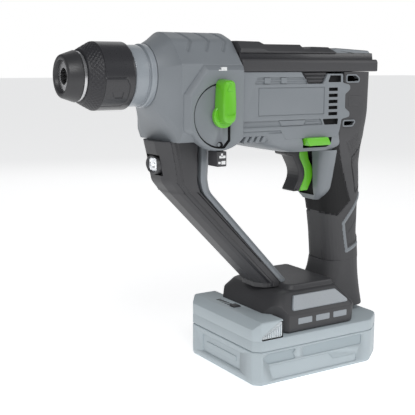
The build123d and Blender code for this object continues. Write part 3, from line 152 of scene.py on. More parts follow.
def place(loop, level, plane):
    """Puts a flat outline at a level of the plane XZ (level along Y), XY (along Z) or YZ (along X)."""
    third = np.full(len(loop), float(level))
    a, b = loop[:, 0], loop[:, 1]
    order = {"XZ": (a, third, b), "XY": (a, b, third), "YZ": (third, a, b)}[plane]
    return np.stack(order, 1)


def stack(name, loops, angle=34.0):
    """One closed solid through loops of the same number of points."""
    rows, cols = len(loops), len(loops[0])
    return make_mesh(name, np.concatenate(loops), ring_faces(rows, cols), angle)


def slab(name, corners, radii, low, high, edge=0.0, plane="XZ", draft=0.0, base_edge=None, steps=6):
    """An outline spread from low to high. The rim of the high face is rounded by edge, the low one by
    base_edge, and the high face is smaller all round by draft."""
    radii = np.maximum(radii, 1.15 * max(edge, base_edge or 0.0))
    base_edge = edge if base_edge is None else base_edge
    outline = soften(corners, radii, steps)
    sign = 1 if high > low else -1
    turn = np.linspace(0, np.pi / 2, 5)
    rows = [(low + sign * base_edge * (1 - np.sin(a)), base_edge * (1 - np.cos(a))) for a in turn[::-1]] \
        if base_edge else [(low, 0.0)]
    rows += [(high - sign * edge * (1 - np.sin(a)), draft + edge * (1 - np.cos(a))) for a in turn] \
        if edge else [(high, draft)]
    return stack(name, [place(shrink(outline, inset), level, plane) for level, inset in rows])


def box(name, x, y, z, radius=0.3, edge=0.3, plane="XZ"):
    """A small rounded block between two corners."""
    spans = {"XZ": (x, z, y), "XY": (x, y, z), "YZ": (y, z, x)}[plane]
    (a0, a1), (b0, b1), (c0, c1) = spans
    return slab(name, [(a0, b0), (a1, b0), (a1, b1), (a0, b1)], radius, c0, c1, edge, plane)


def lathe(name, profile, axis_z, steps=128, closed=True, relief=None, angle=34.0):
    """A profile of (x, radius) points turned about the line along X at a height. Relief adds to the radius
    at each point, from its station and its angle."""
    profile = np.asarray(profile, dtype=float)
    angles = np.linspace(0, 2 * np.pi, steps, endpoint=False)
    x = np.repeat(profile[:, :1], steps, 1)
    r = np.repeat(profile[:, 1:], steps, 1)
    a = np.repeat(angles[None, :], len(profile), 0)
    if relief is not None:
        r = r + relief(x, r, a)
    points = np.stack([x, r * np.cos(a), axis_z + r * np.sin(a)], -1).reshape(-1, 3)
    rows = len(profile)
    faces = ring_faces(rows, steps, caps=False)
    if closed:
        last = np.arange(steps) + (rows - 1) * steps
        first = np.arange(steps)
        faces += np.stack([last, np.roll(last, -1), np.roll(first, -1), first], 1).tolist()
    return make_mesh(name, points, faces, angle)


def bake(obj):
    """Turns the object's modifiers into plain mesh."""
    graph = bpy.context.evaluated_depsgraph_get()
    mesh = bpy.data.meshes.new_from_object(obj.evaluated_get(graph))
    obj.modifiers.clear()
    obj.data = mesh


def carve(obj, cutters, add=False):
    """Cuts a group of solids out of a piece, or joins them to it. Cut walls keep the cutter's material."""
    group = bpy.data.collections.new("cutters")
    bpy.context.scene.collection.children.link(group)
    for cutter in cutters:
        bpy.context.scene.collection.objects.unlink(cutter)
        group.objects.link(cutter)
    step = obj.modifiers.new("carve", "BOOLEAN")
    step.operation = "UNION" if add else "DIFFERENCE"
    step.operand_type = "COLLECTION"
    step.collection = group
    step.solver = "EXACT"
    step.material_mode = "TRANSFER"
    bake(obj)
    for cutter in cutters:
        bpy.data.objects.remove(cutter)
    bpy.data.collections.remove(group)
    return obj


def round_edges(obj, width=0.3, segments=2, limit=40.0, smooth=50.0):
    """Rounds every edge sharper than the limit, as a mould does."""
    step = obj.modifiers.new("round", "BEVEL")
    step.width = width * MM
    step.segments = segments
    step.limit_method = "ANGLE"
    step.angle_limit = np.radians(limit)
    step.use_clamp_overlap = True
    bake(obj)
    obj.data.shade_smooth()
    obj.data.set_sharp_from_angle(angle=np.radians(smooth))
    return obj


def merge(name, pieces):
    """Several closed shells as one object, materials kept."""
    work = bmesh.new()
    materials = []
    for obj in pieces:
        before = len(work.faces)
        shift = [materials.index(m) if m in materials else materials.append(m) or len(materials) - 1
                 for m in obj.data.materials]
        work.from_mesh(obj.data)
        work.faces.ensure_lookup_table()
        for face in work.faces[before:]:
            face.material_index = shift[face.material_index] if shift else 0
        bpy.data.objects.remove(obj)
    mesh = bpy.data.meshes.new(name)
    work.to_mesh(mesh)
    work.free()
    for material in materials:
        mesh.materials.append(material)
    whole = bpy.data.objects.new(name, mesh)
    bpy.context.scene.collection.objects.link(whole)
    return whole


def distance_to_path(a, b, path):
    """Distance from each point (a, b) to a chain of straight runs, the nearest run counting."""
    best = np.full(np.shape(a), 1e9)
    for (a0, b0), (a1, b1) in zip(path[:-1], path[1:]):
        da, db = a1 - a0, b1 - b0
        t = np.clip(((a - a0) * da + (b - b0) * db) / (da * da + db * db), 0, 1)
        best = np.minimum(best, np.hypot(a - a0 - t * da, b - b0 - t * db))
    return best


def inside(a, b, corners):
    """True where a point lies inside an outline, by counting the sides that a level ray crosses."""
    hit = np.zeros(np.shape(a), dtype=bool)
    for (a0, b0), (a1, b1) in zip(corners, corners[1:] + corners[:1]):
        if b0 == b1:
            continue
        cross = ((b0 > b) != (b1 > b)) & (a < (a1 - a0) * (b - b0) / (b1 - b0) + a0)
        hit ^= cross
    return hit


def groove(distance, half, depth):
    """A round-bottomed groove: deepest on its line, level again at half its width."""
    return -depth * np.clip(1 - (distance / half) ** 2, 0, 1)


def ramp(value, low, high):
    """A smooth step from 0 at low to 1 at high."""
    t = np.clip((value - low) / (high - low), 0, 1)
    return t * t * (3 - 2 * t)


print("mesh tools ready")

# %% [markdown]
# ## Finishes
# The real covers are nylon with glass fibre, spark-eroded to a fine matt grain, so every plastic gets a slow
# colour drift, a fine bump and a broken roughness. The grain is in object space, since the parts have no
# texture of their own, and so it stays the same size on every part.

# %% Finishes
def finish(name, colour, roughness, grain=0.25, scale=1800.0, metal=0.0, drift=0.08, coat=0.0,
           stretch=(1, 1, 1), alpha=1.0, glow=0.0, clear=0.0):
    """A procedural finish: slow noise shifts the colour, fine noise breaks the roughness and the bump."""
    material = bpy.data.materials.new(name)
    material.use_nodes = True
    nodes, links = material.node_tree.nodes, material.node_tree.links
    shader = nodes["Principled BSDF"]
    where = nodes.new("ShaderNodeTexCoord")
    mapping = nodes.new("ShaderNodeMapping")
    mapping.inputs["Scale"].default_value = stretch
    links.new(where.outputs["Object"], mapping.inputs["Vector"])
    slow = nodes.new("ShaderNodeTexNoise")
    slow.inputs["Scale"].default_value = 28.0
    slow.inputs["Detail"].default_value = 3.0
    links.new(where.outputs["Object"], slow.inputs["Vector"])
    fine = nodes.new("ShaderNodeTexNoise")
    fine.inputs["Scale"].default_value = scale
    fine.inputs["Detail"].default_value = 2.0
    links.new(mapping.outputs["Vector"], fine.inputs["Vector"])
    tint = nodes.new("ShaderNodeMixRGB")
    tint.inputs["Color1"].default_value = [c * (1 - drift) for c in colour] + [1]
    tint.inputs["Color2"].default_value = [min(1, c * (1 + drift)) for c in colour] + [1]
    links.new(slow.outputs["Fac"], tint.inputs["Fac"])
    links.new(tint.outputs["Color"], shader.inputs["Base Color"])
    rough = nodes.new("ShaderNodeMapRange")
    rough.inputs["To Min"].default_value = max(0.02, roughness - 0.09)
    rough.inputs["To Max"].default_value = min(1.0, roughness + 0.09)
    links.new(fine.outputs["Fac"], rough.inputs["Value"])
    links.new(rough.outputs["Result"], shader.inputs["Roughness"])
    bump = nodes.new("ShaderNodeBump")
    bump.inputs["Strength"].default_value = grain
    bump.inputs["Distance"].default_value = 0.00008
    links.new(fine.outputs["Fac"], bump.inputs["Height"])
    links.new(bump.outputs["Normal"], shader.inputs["Normal"])
    shader.inputs["Metallic"].default_value = metal
    shader.inputs["Coat Weight"].default_value = coat
    shader.inputs["Coat Roughness"].default_value = 0.12
    shader.inputs["Alpha"].default_value = alpha
    shader.inputs["Transmission Weight"].default_value = clear
    if glow:
        shader.inputs["Emission Color"].default_value = [*colour, 1]
        shader.inputs["Emission Strength"].default_value = glow
    return material


GREY = finish("housing_grey", (0.215, 0.235, 0.255), 0.44, grain=0.35, scale=2200)
COLLAR = finish("collar_grey", (0.30, 0.33, 0.36), 0.30, grain=0.1, coat=0.25)
BLACK = finish("cover_black", (0.052, 0.052, 0.056), 0.46, grain=0.4, scale=2000)
RUBBER = finish("grip_rubber", (0.062, 0.062, 0.066), 0.62, grain=0.55, scale=1500)
INSERT = finish("grip_insert", (0.085, 0.086, 0.092), 0.50, grain=0.35, scale=1900)
SLEEVE = finish("sleeve_black", (0.030, 0.030, 0.034), 0.30, grain=0.12, coat=0.2)
KNURL = finish("knurl_black", (0.022, 0.022, 0.026), 0.45, grain=0.3)
TRIGGER = finish("trigger_black", (0.035, 0.035, 0.038), 0.40, grain=0.25)
GREEN = finish("accent_green", (0.135, 0.52, 0.018), 0.32, grain=0.12, coat=0.35, drift=0.05)
# The next finish is near-black: cutters leave it on the walls and floors of vents, slots, windows, the lamp hole and
# the battery seats, as painted shade.
SHADE_BLACK = finish("painted_shade_black", (0.004, 0.004, 0.005), 0.75, grain=0.2)
# The next finish is near-black: painted shade in the selector gap, its notch and the grip and strut grooves, and the
# real colour of the charge-scale marks.
GROOVE_SHADE_AND_MARK = finish("groove_shade_and_mark_dark", (0.010, 0.010, 0.012), 0.7, grain=0.2)
WHITE = finish("mark_white", (0.80, 0.81, 0.82), 0.45, grain=0.1, drift=0.03)
STEEL = finish("steel_ground", (0.56, 0.56, 0.57), 0.26, grain=0.3, scale=900, metal=1.0, stretch=(0.06, 1, 1))
MAGNET = finish("magnet_dark", (0.06, 0.06, 0.065), 0.55, metal=0.6)
ALLOY = finish("alloy_cast", (0.55, 0.56, 0.57), 0.42, grain=0.6, scale=700, metal=1.0)
COPPER = finish("copper_wire", (0.70, 0.30, 0.14), 0.30, metal=1.0, scale=1200, grain=0.5)
MOULDING = finish("dark_moulding", (0.05, 0.05, 0.055), 0.5)
PALE = finish("battery_pale", (0.47, 0.535, 0.57), 0.46, grain=0.3, scale=2200, drift=0.04)
PALE_PANEL = finish("battery_panel", (0.385, 0.45, 0.485), 0.50, grain=0.3, scale=2200, drift=0.04)
PALE_LIGHT = finish("battery_light", (0.66, 0.71, 0.74), 0.42, grain=0.2, drift=0.03)
WRAP = finish("cell_wrap", (0.08, 0.20, 0.42), 0.25, coat=0.5)
BOARD = finish("board_green", (0.02, 0.16, 0.06), 0.35, coat=0.4)
# The lens finish glows faintly: painted light standing in for the bright reflector behind the lens, which is not built.
LENS_PAINTED_GLOW = finish("lens_clear", (0.95, 0.97, 1.0), 0.12, grain=0.5, scale=600, drift=0.01, clear=0.55, glow=0.25)
print("finishes", len(bpy.data.materials))


def dress(obj, material):
    """Gives a piece one finish."""
    obj.data.materials.clear()
    obj.data.materials.append(material)
    return obj


def settle(obj, body="frame", replaces=()):
    """Makes a finished piece ride on its body and stand for its CAD nodes."""
    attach(obj, body)
    if replaces:
        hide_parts(*replaces)
    print(obj.name, len(obj.data.polygons), "faces on", body)
    return obj


# %% [markdown]
# ## CAD pieces that keep their shape
# Shafts, gears, bearings, springs, magnets, cells and screws are turned, ground or stamped parts, and the CAD
# already has their true shape. They only need the finish of their metal or moulding.

# %% CAD pieces that keep their shape
KEPT = {
    STEEL: ["spindle_tube", "bit_holder", "locking_balls", "chuck_spring", "retaining_ring", "spindle_gear",
            "spindle_bearing", "shaft_bearings", "motor_bearings", "motor_can", "piston", "piston_pin", "striker",
            "impact_bolt", "wobble_ring", "wobble_balls", "intermediate_shaft", "intermediate_gear", "wobble_hub",
            "spindle_pinion", "clutch_sleeve", "shift_fork", "rotor_shaft", "rotor_core", "casing_screws"],
    MAGNET: ["motor_magnets"],
    ALLOY: ["inner_flange"],
    COPPER: ["rotor_windings", "commutator"],
    MOULDING: ["motor_fan", "brush_gear", "switch_module", "terminal_block"],
    RUBBER: ["oil_seal", "dust_cap", "grip_cover", "rear_cover"],
    WRAP: ["battery_cells"],
    BOARD: ["battery_board"],
    GREY: ["head_housing", "selector_plate", "casing_left", "casing_right"],
    COLLAR: ["neck_collar"],
    BLACK: ["top_cover", "strut_collar", "strut_cover", "foot_base", "led_bezel", "selector_tab"],
    SLEEVE: ["locking_sleeve"],
    TRIGGER: ["trigger"],
    GREEN: ["selector_lever", "direction_switch"],
    LENS_PAINTED_GLOW: ["led_lens"],
    PALE: ["battery_lower_case", "battery_upper_case"],
    PALE_LIGHT: ["battery_latch_left", "battery_latch_right", "charge_button"],
}
for material, names in KEPT.items():
    for node in names:
        dress(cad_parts[node], material)
print("dressed", sum(len(names) for names in KEPT.values()), "CAD pieces")

# %% [markdown]
# ## Dust cap
# A soft rubber ring snapped on the end of the bit holder. It is turned, so one rounded profile is enough: the
# mouth is thinner than the root, where it grips the holder's groove.

# %% Dust cap
def arc(x, r, radius, start, end, steps=6):
    """Points of a quarter turn or less about (x, r), from one angle to another in degrees."""
    angles = np.radians(np.linspace(start, end, steps))
    return [(x + radius * cos(a), r + radius * sin(a)) for a in angles]


cap_low, cap_high = low_high("dust_cap")
CAP_X, CAP_END = cap_low[0], cap_high[0]
cap_profile = ([(CAP_X, 8.55), (CAP_X, 14.9)] + arc(CAP_X + 0.6, 15.0, 0.6, 180, 80)
               + arc(CAP_END - 1.5, 11.75, 1.5, 68, 0) + arc(CAP_END - 0.8, 10.6, 0.8, -10, -90)
               + [(CAP_END - 1.8, 9.2), (CAP_X + 4.0, 8.95), (CAP_X + 4.0, 7.75), (CAP_X + 2.0, 7.75),
                  (CAP_X + 2.0, 8.55)])
cap = dress(lathe("dust_cap_rubber", cap_profile, SPINDLE_Z, 96), TRIGGER)
settle(cap, "spindle", ["dust_cap"])

# %% [markdown]
# ## Locking sleeve
# The sleeve is pulled back to free the bit. Its nose is knurled: two families of helical cuts leave diamonds.
# Where both cuts are shallow the metal of the mould stands proud, so the height is the lower of two waves.
# The smooth rear carries one shallow panel, drawn as a groove along a chain of (station, angle) points.

# %% Locking sleeve
SLEEVE_R = sleeve_high[2] - SPINDLE_Z
NOSE_X, NOSE_END = CHUCK_X + 20.6, sleeve_high[0]
KNURL_COUNT, KNURL_DEPTH = 44, 0.45
PANEL = [(NOSE_X - 0.6, 8.0), (CHUCK_X + 6.5, 8.0), (CHUCK_X + 4.0, 3.5), (CHUCK_X + 4.0, -7.5),
         (CHUCK_X + 7.0, -12.5), (NOSE_X - 0.6, -12.5)]
MARK = [(CHUCK_X + 15.5, -1.0), (CHUCK_X + 13.0, -5.0), (CHUCK_X + 8.0, -5.0), (CHUCK_X + 8.0, -1.0)]


def sleeve_relief(x, r, a):
    """Diamonds on the cone, and the panel's groove on the cylinder. Arc length stands in for height."""
    turnaround = (x - NOSE_X) / 2.6
    wave = KNURL_COUNT * a / (2 * np.pi)
    first = np.abs(((wave + turnaround) % 1) - 0.5) * 2
    second = np.abs(((wave - turnaround) % 1) - 0.5) * 2
    knurl = KNURL_DEPTH * (np.minimum(first, second) - 0.6)
    on_nose = ramp(x, NOSE_X + 0.5, NOSE_X + 1.2) * ramp(-x, 0.7 - NOSE_END, 1.2 - NOSE_END) * (r > 15)
    height = ((a + np.pi) % (2 * np.pi) - np.pi + 0.42) * SLEEVE_R
    line = np.minimum(distance_to_path(x, height, PANEL), distance_to_path(x, height, MARK) + 0.1)
    on_rear = (x > CHUCK_X + 1) & (x < NOSE_X) & (r > 20)
    return knurl * on_nose + groove(line, 0.45, 0.4) * on_rear


rear = np.linspace(CHUCK_X + 1.6, NOSE_X - 0.6, 56)
cone = np.linspace(0, 1, 34)
sleeve_profile = ([(CHUCK_X, SLEEVE_R - 1.1)] + arc(CHUCK_X + 1.4, SLEEVE_R - 1.4, 1.4, 165, 95)
                  + [(x, SLEEVE_R) for x in rear] + [(NOSE_X - 0.2, SLEEVE_R - 0.5), (NOSE_X + 0.1, SLEEVE_R - 0.5)]
                  + [(NOSE_X + 0.3 + t * (NOSE_END - NOSE_X - 0.6), SLEEVE_R - 0.1 - 4.3 * t) for t in cone]
                  + [(NOSE_END, SLEEVE_R - 4.9), (NOSE_END, 8.62), (NOSE_END - 1.0, 8.62), (NOSE_END - 1.0, 10.9),
                     (CHUCK_X + 14.6, 10.9), (CHUCK_X + 14.6, 8.62), (CHUCK_X + 13.6, 8.62),
                     (CHUCK_X + 12.6, 18.6), (CHUCK_X + 10.0, 19.8), (CHUCK_X, 19.8)])
sleeve = dress(lathe("chuck_sleeve", sleeve_profile, SPINDLE_Z, 352, relief=sleeve_relief), SLEEVE)
sleeve.data.materials.append(KNURL)
centres = np.empty(len(sleeve.data.polygons) * 3)
sleeve.data.polygons.foreach_get("center", centres)
sleeve.data.polygons.foreach_set("material_index", (centres[::3] > NOSE_X * MM).astype(int))
settle(sleeve, "sleeve", ["locking_sleeve"])

# %% [markdown]
# ## Neck collar
# The plain band takes the clamp of a side handle. A groove divides it from a second, taller ring at the head.

# %% Neck collar
neck_low, neck_high = low_high("neck_collar")
NECK_X, NECK_END = neck_low[0], neck_high[0]
neck_profile = ([(NECK_X, 13.6), (NECK_X, 19.3)] + arc(NECK_X + 0.9, 19.2, 0.8, 150, 90)
                + arc(NECK_X + 3.3, 19.2, 0.8, 90, 0) + arc(NECK_X + 4.7, 18.7, 0.6, 200, 340)
                + arc(NECK_X + 6.0, 18.6, 0.6, 160, 90) + arc(NECK_END - 1.0, 18.2, 1.0, 90, 0)
                + [(NECK_END, 13.6)])
settle(dress(lathe("handle_band", neck_profile, SPINDLE_Z, 128), COLLAR), "frame", ["neck_collar"])

# %% [markdown]
# ## Gear head
# The head is one moulding whose section changes from a shield shape to a circle at the neck. Each section is
# the shield's outline read by arc length, so the same column of points runs from the rear rim to the neck and
# the sides stay straight. Three chevrons cross the crown as grooves, and a fine seam runs along each side.

# %% Gear head
HEAD_END = HEAD_X + 45.0
HEAD_HALF = head_high[1]
FLOOR_Z, CROWN_Z = head_low[2], head_high[2]
SHIELD = [(0.0, CROWN_Z), (17.0, CROWN_Z - 6.6), (HEAD_HALF, CROWN_Z - 22.1), (HEAD_HALF, FLOOR_Z + 6.0),
          (HEAD_HALF - 4.0, FLOOR_Z)]
SHIELD_CORNERS = SHIELD + [(-a, b) for a, b in SHIELD[:0:-1]]
SHIELD_RADII = [26.0, 12.0, 1.2, 4.0, 1.6, 1.6, 4.0, 1.2, 12.0]
AROUND = 480


def resample(loop, count):
    """The same closed outline with its points evenly spaced, by arc length, starting at its crown."""
    loop = np.roll(loop, -np.argmax(loop[:, 1] - 0.001 * np.abs(loop[:, 0])), 0)
    closed = np.vstack([loop, loop[:1]])
    run = np.concatenate([[0], np.cumsum(np.linalg.norm(np.diff(closed, axis=0), axis=1))])
    at = np.linspace(0, run[-1], count, endpoint=False)
    return np.stack([np.interp(at, run, closed[:, i]) for i in (0, 1)], 1)


shield = resample(soften(SHIELD_CORNERS, SHIELD_RADII, 10), AROUND)
bearing = np.arctan2(shield[:, 1] - SPINDLE_Z, shield[:, 0])
circle = np.stack([20.2 * np.cos(bearing), SPINDLE_Z + 20.2 * np.sin(bearing)], 1)
rim = [(HEAD_X + 1.6 * (1 - sin(a)), 1.6 * (1 - cos(a)), 0.0) for a in np.linspace(0, np.pi / 2, 6)[::-1]]
side = [(x, 0.0, 0.0) for x in np.linspace(HEAD_X + 2.0, HEAD_END - 0.5, 96)]
bell = [(HEAD_END + 11.0 * t, 0.0, t ** 0.82) for t in np.linspace(0.0, 1.0, 22)]
rows = rim[::-1][::-1] + side + bell
x = np.array([row[0] for row in rows])[:, None]
inset = np.array([row[1] for row in rows])[:, None, None]
blend = np.array([row[2] for row in rows])[:, None, None]
inner = shrink(shield, 1.0) - shield
section = (shield[None] + inset * inner[None]) * (1 - blend) + circle[None] * blend
CHEVRONS = [[(start, 0.0), (start - 3.3, 17.0), (start + 1.6, 22.5)] for start in (HEAD_X + 35.0, HEAD_X + 21.8,
                                                                                 HEAD_X + 9.2)]
X = np.repeat(x, AROUND, 1)
Y, Z = section[..., 0], section[..., 1]
away = np.full(X.shape, 1e9)
for chevron in CHEVRONS:
    away = np.minimum(away, distance_to_path(X, np.abs(Y), chevron))
crown = (Z > CROWN_Z - 14) & (X < HEAD_END)
relief = groove(away, 1.15, 1.0) * crown
seam = np.abs(Z - (CROWN_Z - 22.2))
relief += groove(seam, 0.35, 0.25) * ((X > HEAD_X + 29) & (X < HEAD_END + 0.4) & (np.abs(Y) > HEAD_HALF - 1))
Y = Y + relief * inner[None, :, 0] * -1
Z = Z + relief * inner[None, :, 1] * -1
points = np.stack([X, Y, Z], -1).reshape(-1, 3)
head = make_mesh("gear_head", points, ring_faces(len(rows), AROUND), 38)
settle(dress(head, GREY), "frame", ["head_housing"])

# %% [markdown]
# ## Selector pad
# The pad stands proud of the head's left side, and its upper and front walls slope, so the base outline and
# the face outline are two different polygons with the same number of corners. A round recess with one straight
# side is cut into it, and a thinner disc is laid back in, which leaves the gap that runs round the disc, painted
# near-black as shade.

# %% Selector pad
PIVOT_X, PIVOT_Z = HEAD_X + 18.0, SPINDLE_Z - 24.6
PAD_Y = low_high("selector_plate")[1][1]


def around_pivot(radius, start, end, steps=14):
    """Points of an arc about the lever's pivot, angles in degrees, zero towards the nose."""
    angles = np.radians(np.linspace(start, end, steps))
    return [(PIVOT_X + radius * cos(a), PIVOT_Z + radius * sin(a)) for a in angles]


bottom = around_pivot(22.5, -32, -128, 12)
pad_base = [(HEAD_X + 0.3, PIVOT_Z + 31.4), (HEAD_X + 29.7, PIVOT_Z + 31.4), (HEAD_X + 43.9, PIVOT_Z + 13.7),
            (HEAD_X + 44.2, PIVOT_Z - 9.5), *bottom, (HEAD_X + 1.2, PIVOT_Z - 15.0)]
inner_bottom = around_pivot(21.4, -33, -127, 12)
pad_face = [(HEAD_X + 1.6, PIVOT_Z + 28.2), (HEAD_X + 28.2, PIVOT_Z + 28.2), (HEAD_X + 40.6, PIVOT_Z + 12.6),
            (HEAD_X + 40.9, PIVOT_Z - 9.0), *inner_bottom, (HEAD_X + 2.0, PIVOT_Z - 14.5)]
pad_radii = [1.0, 0.8, 0.8, 4.0] + [3.0] * len(bottom) + [2.0]
base_loop, face_loop = soften(pad_base, pad_radii, 4), soften(pad_face, pad_radii, 4)
pad = stack("selector_pad", [place(base_loop, HEAD_HALF - 6.0, "XZ"), place(base_loop, HEAD_HALF + 0.2, "XZ"),
                             place(shrink(base_loop, 0.15), HEAD_HALF + 0.6, "XZ"),
                             place(shrink(face_loop, -0.25), PAD_Y - 0.25, "XZ"), place(face_loop, PAD_Y, "XZ")])
dress(pad, GREY)
REAR_CUT = PIVOT_X - 6.2


def recess(radius, cut):
    """A circle about the pivot with its rear cut off straight, bevelled at the lower rear."""
    reach = np.degrees(np.arccos((PIVOT_X - cut) / radius))
    return around_pivot(radius, -168 + reach, 180 - reach, 40) + [(cut, PIVOT_Z - radius * 0.78)]


# The gap's walls and floor take the cutter's near-black finish: painted shade round the disc.
gap_cut = dress(slab("gap_cut", recess(20.5, REAR_CUT), 0.2, PAD_Y - 2.6, PAD_Y + 1, steps=2), GROOVE_SHADE_AND_MARK)
carve(pad, [gap_cut])
disc = dress(slab("disc", recess(19.5, REAR_CUT + 1.0), 0.3, PAD_Y - 3.0, PAD_Y - 1.1, 0.25, steps=2), GREY)
# The notch is cut with the same near-black finish: painted shade inside it.
notch = dress(slab("notch", around_pivot(2.4, 0, 330, 12), 0.2, PAD_Y - 2.0, PAD_Y, steps=2), GROOVE_SHADE_AND_MARK)
notch.data.transform(Matrix.Translation((1.0 * MM, 0, -18.6 * MM)))
carve(disc, [notch])
stud = dress(slab("stud", around_pivot(1.3, 0, 330, 12), 0.2, PAD_Y - 2.6, PAD_Y - 1.2, 0.3, steps=2), GREY)
stud.data.transform(Matrix.Translation((1.6 * MM, 0, -18.2 * MM)))
round_edges(pad, 0.3)
pad = merge("selector_pad", [pad, disc, stud])
settle(pad, "frame", ["selector_plate"])

# %% [markdown]
# ## Mode marks and their tab
# The real tool shows its modes with small white pictograms. Plain bars and a triangle stand in for them, one
# group on the pad's upper bevel and one on the black tab under the pad.

# %% Mode marks and tab
tab_low, tab_high = low_high("selector_tab")
tab = box("mode_tab", (tab_low[0], tab_high[0]), (tab_low[1], tab_high[1]), (tab_low[2], tab_high[2] + 0.2), 0.5, 0.4)
dress(tab, BLACK)
TAB_X = (tab_low[0] + tab_high[0]) / 2
marks = [box("m", (TAB_X - 2.6, TAB_X + 2.0), (tab_high[1] - 0.1, tab_high[1] + 0.12),
             (tab_low[2] + 5.4, tab_low[2] + 7.0), 0.2, 0),
         box("m", (TAB_X - 0.6, TAB_X + 0.8), (tab_high[1] - 0.1, tab_high[1] + 0.12),
             (tab_low[2] + 6.4, tab_low[2] + 8.4), 0.2, 0),
         box("m", (TAB_X - 2.6, TAB_X + 0.4), (tab_high[1] - 0.1, tab_high[1] + 0.12),
             (tab_low[2] + 1.4, tab_low[2] + 3.6), 0.2, 0),
         box("m", (TAB_X + 1.0, TAB_X + 2.8), (tab_high[1] - 0.1, tab_high[1] + 0.12),
             (tab_low[2] + 1.8, tab_low[2] + 3.2), 0.2, 0),
         box("m", (PIVOT_X - 3.6, PIVOT_X + 2.6), (PAD_Y - 1.6, PAD_Y - 0.02), (PIVOT_Z + 27.2, PIVOT_Z + 28.6), 0.2, 0),
         box("m", (PIVOT_X - 3.6, PIVOT_X + 0.4), (PAD_Y - 1.6, PAD_Y - 0.3), (PIVOT_Z + 28.4, PIVOT_Z + 30.2), 0.2, 0)]
for mark in marks:
    dress(mark, WHITE)
settle(merge("mode_tab", [tab] + marks), "frame", ["selector_tab"])

# %% [markdown]
# ## Mode lever
# A green grip bar on a round hub. The bar's outline shrinks towards its face along a quarter circle, so its
# long edges catch one soft highlight. A raised arrow at its tip points at the chosen mode.

# %% Mode lever
lever_low, lever_high = low_high("selector_lever")
BAR_Y0, BAR_Y1 = PAD_Y + 0.3, lever_high[1]
BAR_TOP = lever_high[2]
bar_outline = [(PIVOT_X - 5.3, PIVOT_Z - 5.2), (PIVOT_X + 5.3, PIVOT_Z - 5.2), (PIVOT_X + 5.6, PIVOT_Z + 8.0),
               (PIVOT_X + 4.6, BAR_TOP), (PIVOT_X - 4.6, BAR_TOP), (PIVOT_X - 5.6, PIVOT_Z + 8.0)]
bar = slab("lever_bar", bar_outline, [5.0, 5.0, 20.0, 4.0, 4.0, 20.0], BAR_Y0, BAR_Y1, 1.9, draft=0.7, base_edge=0,
           steps=9)
hub = slab("lever_hub", around_pivot(7.6, 0, 345, 24), 0.5, BAR_Y0, BAR_Y0 + 2.6, 0.8, steps=2, base_edge=0)
stem = slab("lever_stem", around_pivot(5.4, 0, 345, 24), 0.5, lever_low[1] + 5.0, BAR_Y0 + 0.5, 0.0, steps=2)
ARROW_Z = BAR_TOP - 7.4
arrow = slab("lever_arrow", [(PIVOT_X - 2.4, ARROW_Z), (PIVOT_X + 2.4, ARROW_Z), (PIVOT_X, ARROW_Z + 5.2)], 0.3,
             BAR_Y1 - 0.6, BAR_Y1, 0.2, base_edge=0)
shallow = slab("lever_dish", [(PIVOT_X - 4.2, PIVOT_Z + 1.0), (PIVOT_X + 4.2, PIVOT_Z + 1.0),
                              (PIVOT_X + 3.6, BAR_TOP - 1.9), (PIVOT_X - 3.6, BAR_TOP - 1.9)], 2.6,
               BAR_Y1 - 0.45, BAR_Y1 + 1.0, draft=-0.6, steps=7)
carve(bar, [shallow])
round_edges(bar, 0.25)
for part in (bar, hub, stem, arrow):
    dress(part, GREEN)
settle(merge("mode_lever", [bar, hub, stem, arrow]), "selector", ["selector_lever"])

# %% [markdown]
# ## Columns
# The grip, the trigger housing and the strut are columns: a rounded outline that changes from level to level.
# Levels are given only where the shape turns. Between them the sizes are interpolated and then averaged over
# a few rows, so the flanks flow. Seams and grooves push the surface in along each section's own normal.

# %% Columns
def even(loop, count):
    """The same closed outline with evenly spaced points, starting where it crosses its own front middle."""
    loop = np.roll(loop, -np.argmax(loop[:, 0] - 0.001 * np.abs(loop[:, 1])), 0)
    closed = np.vstack([loop, loop[:1]])
    run = np.concatenate([[0], np.cumsum(np.linalg.norm(np.diff(closed, axis=0), axis=1))])
    at = np.linspace(0, run[-1], count, endpoint=False)
    return np.stack([np.interp(at, run, closed[:, i]) for i in (0, 1)], 1)


def column(name, levels, outline, step=0.6, count=220, relief=None, blur=4, angle=40.0):
    """A closed column along Z. Each level is a height and its sizes, and outline turns sizes into corners
    and radii."""
    levels = np.array(sorted(levels), dtype=float)
    heights = np.arange(levels[0, 0], levels[-1, 0] + step / 2, step)
    sizes = np.stack([np.interp(heights, levels[:, 0], column) for column in levels[:, 1:].T], 1)
    if blur:
        padded = np.pad(sizes, ((blur, blur), (0, 0)), mode="edge")
        window = np.ones(2 * blur + 1) / (2 * blur + 1)
        sizes = np.stack([np.convolve(c, window, mode="valid") for c in padded.T], 1)
    loops = np.stack([even(soften(*outline(*row), 8), count) for row in sizes])
    normal = np.stack([shrink(loop, 1.0) - loop for loop in loops])
    normal /= np.maximum(np.linalg.norm(normal, axis=2), 1e-6)[..., None]
    z = np.repeat(heights[:, None], count, 1)
    if relief is not None:
        loops = loops - normal * relief(loops[..., 0], loops[..., 1], z)[..., None]
    points = np.concatenate([loops, z[..., None]], 2).reshape(-1, 3)
    return make_mesh(name, points, ring_faces(len(heights), count), angle)


def paint(obj, region, material):
    """Gives a second finish to the faces whose middles lie in a region of (x, y, z) in millimetres."""
    obj.data.materials.append(material)
    slot = len(obj.data.materials) - 1
    middle = np.empty(len(obj.data.polygons) * 3)
    obj.data.polygons.foreach_get("center", middle)
    middle = middle.reshape(-1, 3) / MM
    index = np.empty(len(obj.data.polygons), dtype=np.int32)
    obj.data.polygons.foreach_get("material_index", index)
    index[region(middle[:, 0], middle[:, 1], middle[:, 2])] = slot
    obj.data.polygons.foreach_set("material_index", index)
    return obj


